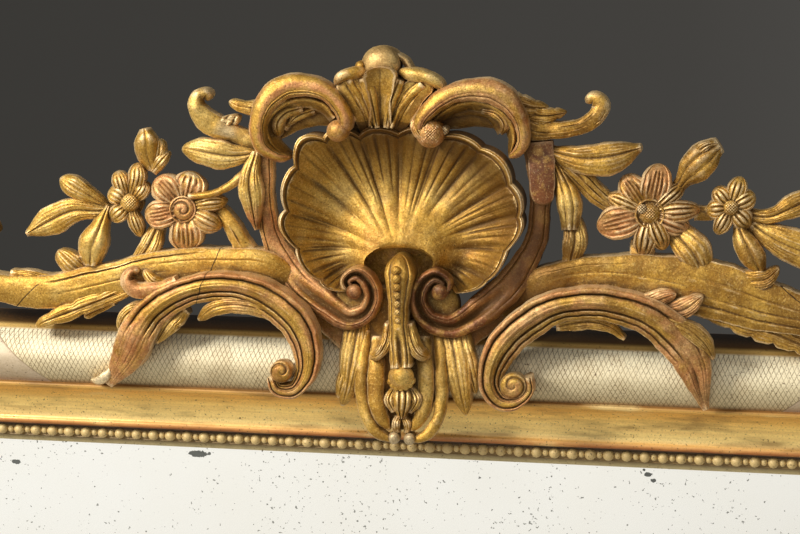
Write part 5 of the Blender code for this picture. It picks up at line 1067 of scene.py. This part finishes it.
def moulding_finish():
    n = Nodes("silver_and_gold_moulding")
    split = n.new("ShaderNodeSeparateXYZ")
    n.link(n.attribute("lay").outputs["Vector"], split.inputs[0])
    run, across = split.outputs[0], split.outputs[1]
    t = n.math("MULTIPLY", across, 10.0)  # 0 to 0.965 over the width
    patches = n.noise(30, 5, 0.62)
    grain = n.noise(700, 4, 0.7)
    streaks = n.new("ShaderNodeCombineXYZ")
    n.link(n.math("MULTIPLY", run, 9.0), streaks.inputs[0])
    n.link(n.math("MULTIPLY", across, 420.0), streaks.inputs[1])
    streak = n.noise(1.0, 4, 0.6, streaks.outputs[0])
    broad = n.new("ShaderNodeCombineXYZ")
    n.link(n.math("MULTIPLY", run, 16.0), broad.inputs[0])
    n.link(n.math("MULTIPLY", across, 75.0), broad.inputs[1])
    smudge_and_sheen = n.noise(1.0, 4, 0.55, broad.outputs[0])
    # colour over the width: fillet, silver, gilt, red roll and beads in their own colours, with light painted in: the
    # outer edge and back fillet dark as painted shadow under the crest, the silver lighter at its top and darker at its
    # foot as painted shade, painted shade under the lip and in the upper cove, painted highlight in the lower cove and
    # on top of the red roll, and the quirk beside the beads dark as painted shade
    def at_mm(mm):
        return mm / 100.0

    bands_and_painted_light = n.ramp(
        t,
        [
            (0.0, srgb(46, 32, 14)), (at_mm(4.6), srgb(96, 68, 28)), (at_mm(6.2), srgb(206, 172, 100)), (at_mm(8.0), srgb(190, 156, 88)),
            (at_mm(9), srgb(244, 236, 206)), (at_mm(30), srgb(224, 208, 168)), (at_mm(43.5), srgb(206, 186, 142)), (at_mm(46.3), srgb(140, 98, 48)),
            (at_mm(47.3), srgb(190, 146, 76)), (at_mm(50), srgb(236, 184, 88)), (at_mm(56), srgb(252, 202, 102)), (at_mm(63), srgb(255, 218, 130)),
            (at_mm(73), srgb(255, 224, 144)), (at_mm(76.3), srgb(240, 196, 118)), (at_mm(78.4), srgb(204, 142, 78)), (at_mm(80.6), srgb(168, 94, 42)),
            (at_mm(82), srgb(74, 44, 14)), (at_mm(84), srgb(60, 44, 20)), (at_mm(86.5), srgb(150, 118, 60)), (at_mm(87.7), srgb(150, 118, 60)), (at_mm(87.9), srgb(226, 198, 136)), (at_mm(88.1), srgb(226, 198, 136)), (at_mm(88.3), srgb(150, 118, 60)),
            (at_mm(91.6), srgb(112, 88, 42)), (at_mm(95), srgb(190, 172, 124)),
        ][:32],
    )
    silver = n.math("MULTIPLY", n.math("GREATER_THAN", t, at_mm(8.6)), n.math("LESS_THAN", t, at_mm(46.0)))
    gilt = n.math("MULTIPLY", n.math("GREATER_THAN", t, at_mm(46.0)), n.math("LESS_THAN", t, at_mm(82)))
    colour = n.mix(n.math("MULTIPLY", n.ramp(streak, [(0.40, 0.0), (0.62, 1.0)], False), n.math("MULTIPLY", gilt, 0.22)), bands_and_painted_light, srgb(176, 112, 40))
    colour = n.mix(n.math("MULTIPLY", n.ramp(smudge_and_sheen, [(0.52, 0.0), (0.66, 1.0)], False), n.math("MULTIPLY", gilt, 0.55)), colour, srgb(96, 62, 18))
    worn = n.math("MULTIPLY", n.math("GREATER_THAN", t, at_mm(75.8)), n.math("LESS_THAN", t, at_mm(81.5)))
    colour = n.mix(n.math("MULTIPLY", n.ramp(smudge_and_sheen, [(0.36, 1.0), (0.50, 0.0)], False), n.math("MULTIPLY", worn, 0.8)), colour, srgb(222, 168, 92))
    # pale patches on the gilt: painted highlight
    colour = n.mix(n.math("MULTIPLY", n.ramp(smudge_and_sheen, [(0.3, 1.0), (0.42, 0.0)], False), n.math("MULTIPLY", gilt, 0.45)), colour, srgb(250, 226, 158))
    # engraved crossing lines on the silver, left plain in the reserves
    def lines(slope):
        bend = n.math("MULTIPLY_ADD", across, slope, run)
        wave = n.math("FRACT", n.math("MULTIPLY", bend, 1 / 0.0035))
        return n.math("LESS_THAN", n.math("ABSOLUTE", n.math("SUBTRACT", wave, 0.5)), 0.065)

    hatch = n.math("MAXIMUM", lines(0.55), lines(-0.55))
    away = n.math("ABSOLUTE", n.math("SUBTRACT", run, 0.002))
    edge = n.math("MULTIPLY_ADD", across, -1.15, 0.3165)
    inside = n.math("LESS_THAN", away, edge)
    far = n.math("GREATER_THAN", away, 0.410)
    field = n.math("MAXIMUM", inside, far)
    rim = n.math("LESS_THAN", n.math("ABSOLUTE", n.math("SUBTRACT", away, edge)), 0.0007)
    cuts = n.math("MULTIPLY", n.math("MAXIMUM", n.math("MULTIPLY", hatch, field), rim), silver)
    fade = n.ramp(n.noise(60, 3, 0.6), [(0.3, 0.35), (0.6, 0.85)], False)
    colour = n.mix(n.math("MULTIPLY", cuts, fade), colour, srgb(118, 96, 62))
    plain = n.math("MULTIPLY", silver, n.math("SUBTRACT", 1.0, field))
    colour = n.mix(n.math("MULTIPLY", plain, 0.55), colour, srgb(190, 168, 150))
    tarnish = n.ramp(patches, [(0.5, 0.0), (0.75, 1.0)], False)
    colour = n.mix(n.math("MULTIPLY", tarnish, n.math("MULTIPLY", silver, 0.45)), colour, srgb(170, 144, 100))
    specks = n.ramp(n.noise(700, 2, 0.5), [(0.29, 0.85), (0.34, 0.0)], False)
    colour = n.mix(specks, colour, srgb(58, 38, 18))
    marks = n.ramp(grain, [(0.40, 1.0), (0.55, 0.0)], False)
    colour = n.mix(n.math("MULTIPLY", marks, 0.16), colour, srgb(128, 92, 44))
    # bare wood behind
    behind = n.math("LESS_THAN", split.outputs[2], 0.0005)
    wood = n.ramp(streak, [(0.3, srgb(112, 80, 48)), (0.5, srgb(146, 108, 68)), (0.7, srgb(172, 134, 90))])
    colour = n.mix(behind, colour, n.mix(n.ramp(patches, [(0.4, 0.0), (0.7, 0.6)], False), wood, srgb(96, 70, 44)))
    n.link(colour, n.shader.inputs["Base Color"])
    metallic = n.ramp(t, [(at_mm(5), 0.35), (at_mm(10), 0.16), (at_mm(49), 0.16), (at_mm(52), 0.40), (at_mm(74), 0.40), (at_mm(82), 0.10)], False)
    n.link(n.math("MULTIPLY", metallic, n.math("SUBTRACT", 1.0, behind)), n.shader.inputs["Metallic"])
    rough = n.ramp(t, [(at_mm(6), 0.5), (at_mm(10), 0.60), (at_mm(49), 0.58), (at_mm(52), 0.34), (at_mm(74), 0.27), (at_mm(83), 0.48)], False)
    n.link(n.math("MULTIPLY_ADD", grain, 0.16, n.math("SUBTRACT", rough, 0.06), clamp=True), n.shader.inputs["Roughness"])
    low = n.bump(n.noise(120, 4, 0.6), 0.25, 0.0008)
    mid = n.bump(n.math("SUBTRACT", 1.0, cuts), 0.7, 0.0004, low)
    n.link(n.bump(grain, 0.22, 0.0003, mid), n.shader.inputs["Normal"])
    return n.mat


def old_mirror():
    n = Nodes("foxed_silvering")
    blots = n.noise(26, 6, 0.7, distortion=0.6)
    fine = n.noise(260, 3, 0.6)
    edge = n.noise(7, 4, 0.6)
    spots = n.math("MULTIPLY", n.ramp(blots, [(0.74, 0.0), (0.77, 1.0)], False), n.ramp(fine, [(0.36, 0.0), (0.52, 1.0)], False))
    crowd = n.math("MULTIPLY_ADD", n.noise(9, 3, 0.6), 0.22, 0.195)
    pin = n.math("LESS_THAN", n.noise(430, 2, 0.5), crowd)
    marks = n.math("MAXIMUM", spots, n.math("MULTIPLY", pin, 0.8))
    for u, v, long, high in ((197.5, 454.0, 9.5, 3.6), (209.5, 453.5, 1.6, 1.5), (16.5, 461.5, 4.6, 2.6), (648.0, 474.5, 4.0, 2.2), (653.5, 480.5, 3.0, 2.0), (644.0, 470.0, 1.5, 1.4)):
        place = at(u, v, 11.0)
        away = n.new("ShaderNodeVectorMath", operation="SUBTRACT")
        n.link(n.coordinates(), away.inputs[0])
        away.inputs[1].default_value = tuple(place)
        shrunk = n.new("ShaderNodeVectorMath", operation="MULTIPLY")
        n.link(away.outputs["Vector"], shrunk.inputs[0])
        shrunk.inputs[1].default_value = (1 / (long * 0.00073), 1.0, 1 / (high * 0.00073))
        wide = n.new("ShaderNodeVectorMath", operation="LENGTH")
        n.link(shrunk.outputs["Vector"], wide.inputs[0])
        near = n.math("ADD", wide.outputs["Value"], n.math("MULTIPLY", n.math("SUBTRACT", n.noise(420, 4, 0.7), 0.5), 1.6))
        marks = n.math("MAXIMUM", marks, n.math("LESS_THAN", near, 1.0))
    colour = n.mix(n.ramp(edge, [(0.35, 0.0), (0.75, 0.25)], False), srgb(250, 249, 243), srgb(238, 232, 214))
    colour = n.mix(marks, colour, srgb(92, 94, 90))
    n.link(colour, n.shader.inputs["Base Color"])
    n.link(n.math("MULTIPLY_ADD", marks, -0.75, 0.97), n.shader.inputs["Metallic"])
    n.link(n.math("MULTIPLY_ADD", marks, 0.5, n.math("MULTIPLY_ADD", fine, 0.03, 0.03)), n.shader.inputs["Roughness"])
    n.link(n.bump(edge, 0.03, 0.002), n.shader.inputs["Normal"])
    return n.mat


def pine_board():
    n = Nodes("aged_pine")
    grain = n.noise(6, 6, 0.6, stretch=(14, 14, 0.7), distortion=0.8)
    fine = n.noise(60, 4, 0.7, stretch=(9, 9, 0.6))
    colour = n.ramp(grain, [(0.3, srgb(92, 62, 34)), (0.5, srgb(134, 96, 58)), (0.7, srgb(168, 128, 82))])
    colour = n.mix(n.math("MULTIPLY", fine, 0.5), colour, srgb(84, 58, 34))
    n.link(colour, n.shader.inputs["Base Color"])
    n.link(n.math("MULTIPLY_ADD", fine, 0.2, 0.62), n.shader.inputs["Roughness"])
    n.link(n.bump(fine, 0.4, 0.0006), n.shader.inputs["Normal"])
    return n.mat


def dress(ob, mat):
    ob.data.materials.clear()
    ob.data.materials.append(mat)


dress(crest, carved_gilding())
finish = moulding_finish()
for ob in (top, left, right, base):
    dress(ob, finish)
for name, mat in (("mirror_glass", old_mirror()), ("backboard", pine_board())):
    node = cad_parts[name]
    for slot in node.material_slots:
        slot.material = mat
    if not node.material_slots:
        node.data.materials.append(mat)

# ---------------------------------------------------------------- stage, light and camera
floor_mesh = bpy.data.meshes.new("pale_floor")
size, level = 3.0, bottom - 0.002
floor_mesh.from_pydata([(-size, -size, level), (size, -size, level), (size, size, level), (-size, size, level)], [], [(0, 1, 2, 3)])
floor = bpy.data.objects.new("pale_floor", floor_mesh)
SCENE.collection.objects.link(floor)
n = Nodes("pale_floor_paint")
n.link(n.ramp(n.noise(3, 3, 0.5), [(0.3, srgb(206, 202, 194)), (0.7, srgb(222, 219, 212))]), n.shader.inputs["Base Color"])
n.shader.inputs["Roughness"].default_value = 0.85
floor.data.materials.append(n.mat)

world = bpy.data.worlds.new("studio")
SCENE.world = world
world.use_nodes = True
tree_w = world.node_tree
tree_w.nodes.clear()
out = tree_w.nodes.new("ShaderNodeOutputWorld")
coords = tree_w.nodes.new("ShaderNodeTexCoord")
split = tree_w.nodes.new("ShaderNodeSeparateXYZ")
tree_w.links.new(coords.outputs["Generated"], split.inputs[0])


def world_ramp(socket, stops):
    ranged = tree_w.nodes.new("ShaderNodeMapRange")
    ranged.inputs["From Min"].default_value = -1
    tree_w.links.new(socket, ranged.inputs["Value"])
    node = tree_w.nodes.new("ShaderNodeValToRGB")
    while len(node.color_ramp.elements) < len(stops):
        node.color_ramp.elements.new(0.5)
    for element, (place, shade) in zip(node.color_ramp.elements, stops):
        element.position, element.color = place, (*shade, 1)
    tree_w.links.new(ranged.outputs[0], node.inputs["Fac"])
    return node.outputs["Color"]


front_back = world_ramp(split.outputs[1], [(0.0, (1.0, 0.985, 0.95)), (0.35, (0.75, 0.74, 0.72)), (0.6, (0.18, 0.18, 0.18)), (1.0, (0.10, 0.10, 0.10))])
left_right = world_ramp(split.outputs[0], [(0.0, (1.15, 1.15, 1.15)), (0.45, (0.95, 0.95, 0.95)), (1.0, (0.26, 0.26, 0.26))])
up_down = world_ramp(split.outputs[2], [(0.0, (0.25, 0.25, 0.25)), (0.38, (1.02, 1.02, 1.02)), (0.47, (0.92, 0.92, 0.92)), (0.66, (1.0, 1.0, 1.0)), (1.0, (3.2, 3.2, 3.2))])


def world_mix(a, b):
    node = tree_w.nodes.new("ShaderNodeMix")
    node.data_type, node.blend_type = "RGBA", "MULTIPLY"
    node.inputs[0].default_value = 1.0
    tree_w.links.new(a, node.inputs[6])
    tree_w.links.new(b, node.inputs[7])
    return node.outputs[2]


# a white wall opposite, which the glass returns to the photo's viewpoint; the rest of the room is dimmer
wall = tree_w.nodes.new("ShaderNodeVectorMath")
wall.operation = "DOT_PRODUCT"
tree_w.links.new(coords.outputs["Generated"], wall.inputs[0])
wall.inputs[1].default_value = (-OUTWARD[0], OUTWARD[1], -OUTWARD[2])
white_wall = world_ramp(wall.outputs["Value"], [(0.0, (0.42, 0.42, 0.42)), (0.86, (0.50, 0.50, 0.50)), (0.965, (1.0, 1.0, 1.0))])
studio = tree_w.nodes.new("ShaderNodeBackground")
tree_w.links.new(world_mix(white_wall, world_mix(world_mix(front_back, left_right), up_down)), studio.inputs["Color"])
studio.inputs["Strength"].default_value = 1.0
seen = tree_w.nodes.new("ShaderNodeBackground")
tree_w.links.new(world_ramp(split.outputs[0], [(0.30, (0.040, 0.038, 0.034)), (0.47, (0.056, 0.053, 0.048)), (0.56, (0.088, 0.084, 0.078))]), seen.inputs["Color"])
path_node = tree_w.nodes.new("ShaderNodeLightPath")
both = tree_w.nodes.new("ShaderNodeMixShader")
tree_w.links.new(path_node.outputs["Is Camera Ray"], both.inputs[0])
tree_w.links.new(studio.outputs[0], both.inputs[1])
tree_w.links.new(seen.outputs[0], both.inputs[2])
tree_w.links.new(both.outputs[0], out.inputs["Surface"])


def area(name, place, aim, size, power, colour=(1, 1, 1)):
    light = bpy.data.lights.new(name, "AREA")
    light.shape, light.size, light.size_y = "RECTANGLE", size[0], size[1]
    light.energy, light.color = power, colour
    ob = bpy.data.objects.new(name, light)
    ob.location = place
    way = Vector(place) - Vector(aim)
    ob.rotation_euler = way.to_track_quat("Z", "Y").to_euler()
    SCENE.collection.objects.link(ob)


area("key_upper_left", (-1.18, -1.0, 0.95), (0, 0, 0.05), (0.5, 0.5), 35, (1.0, 0.965, 0.90))
area("fill_front", (0.7, -1.9, 1.2), (0, 0, 0.0), (1.4, 1.4), 3, (1.0, 0.98, 0.95))
area("rim_right", (1.6, -0.2, 0.9), (0.1, 0, 0.1), (0.5, 0.9), 3, (0.96, 0.98, 1.0))

camera = bpy.data.cameras.new("photo_view")
camera.sensor_width, camera.lens = 36.0, 36.0 * SHEET_FOCUS / 800.0
camera.clip_start, camera.clip_end = 0.05, 40
eye = bpy.data.objects.new("photo_view", camera)
eye.matrix_world = Matrix(
    ((RIGHT[0], UP[0], OUTWARD[0], EYE[0]), (RIGHT[1], UP[1], OUTWARD[1], EYE[1]), (RIGHT[2], UP[2], OUTWARD[2], EYE[2]), (0, 0, 0, 1))
)
SCENE.collection.objects.link(eye)
SCENE.camera = eye
SCENE.view_settings.view_transform = "Standard"
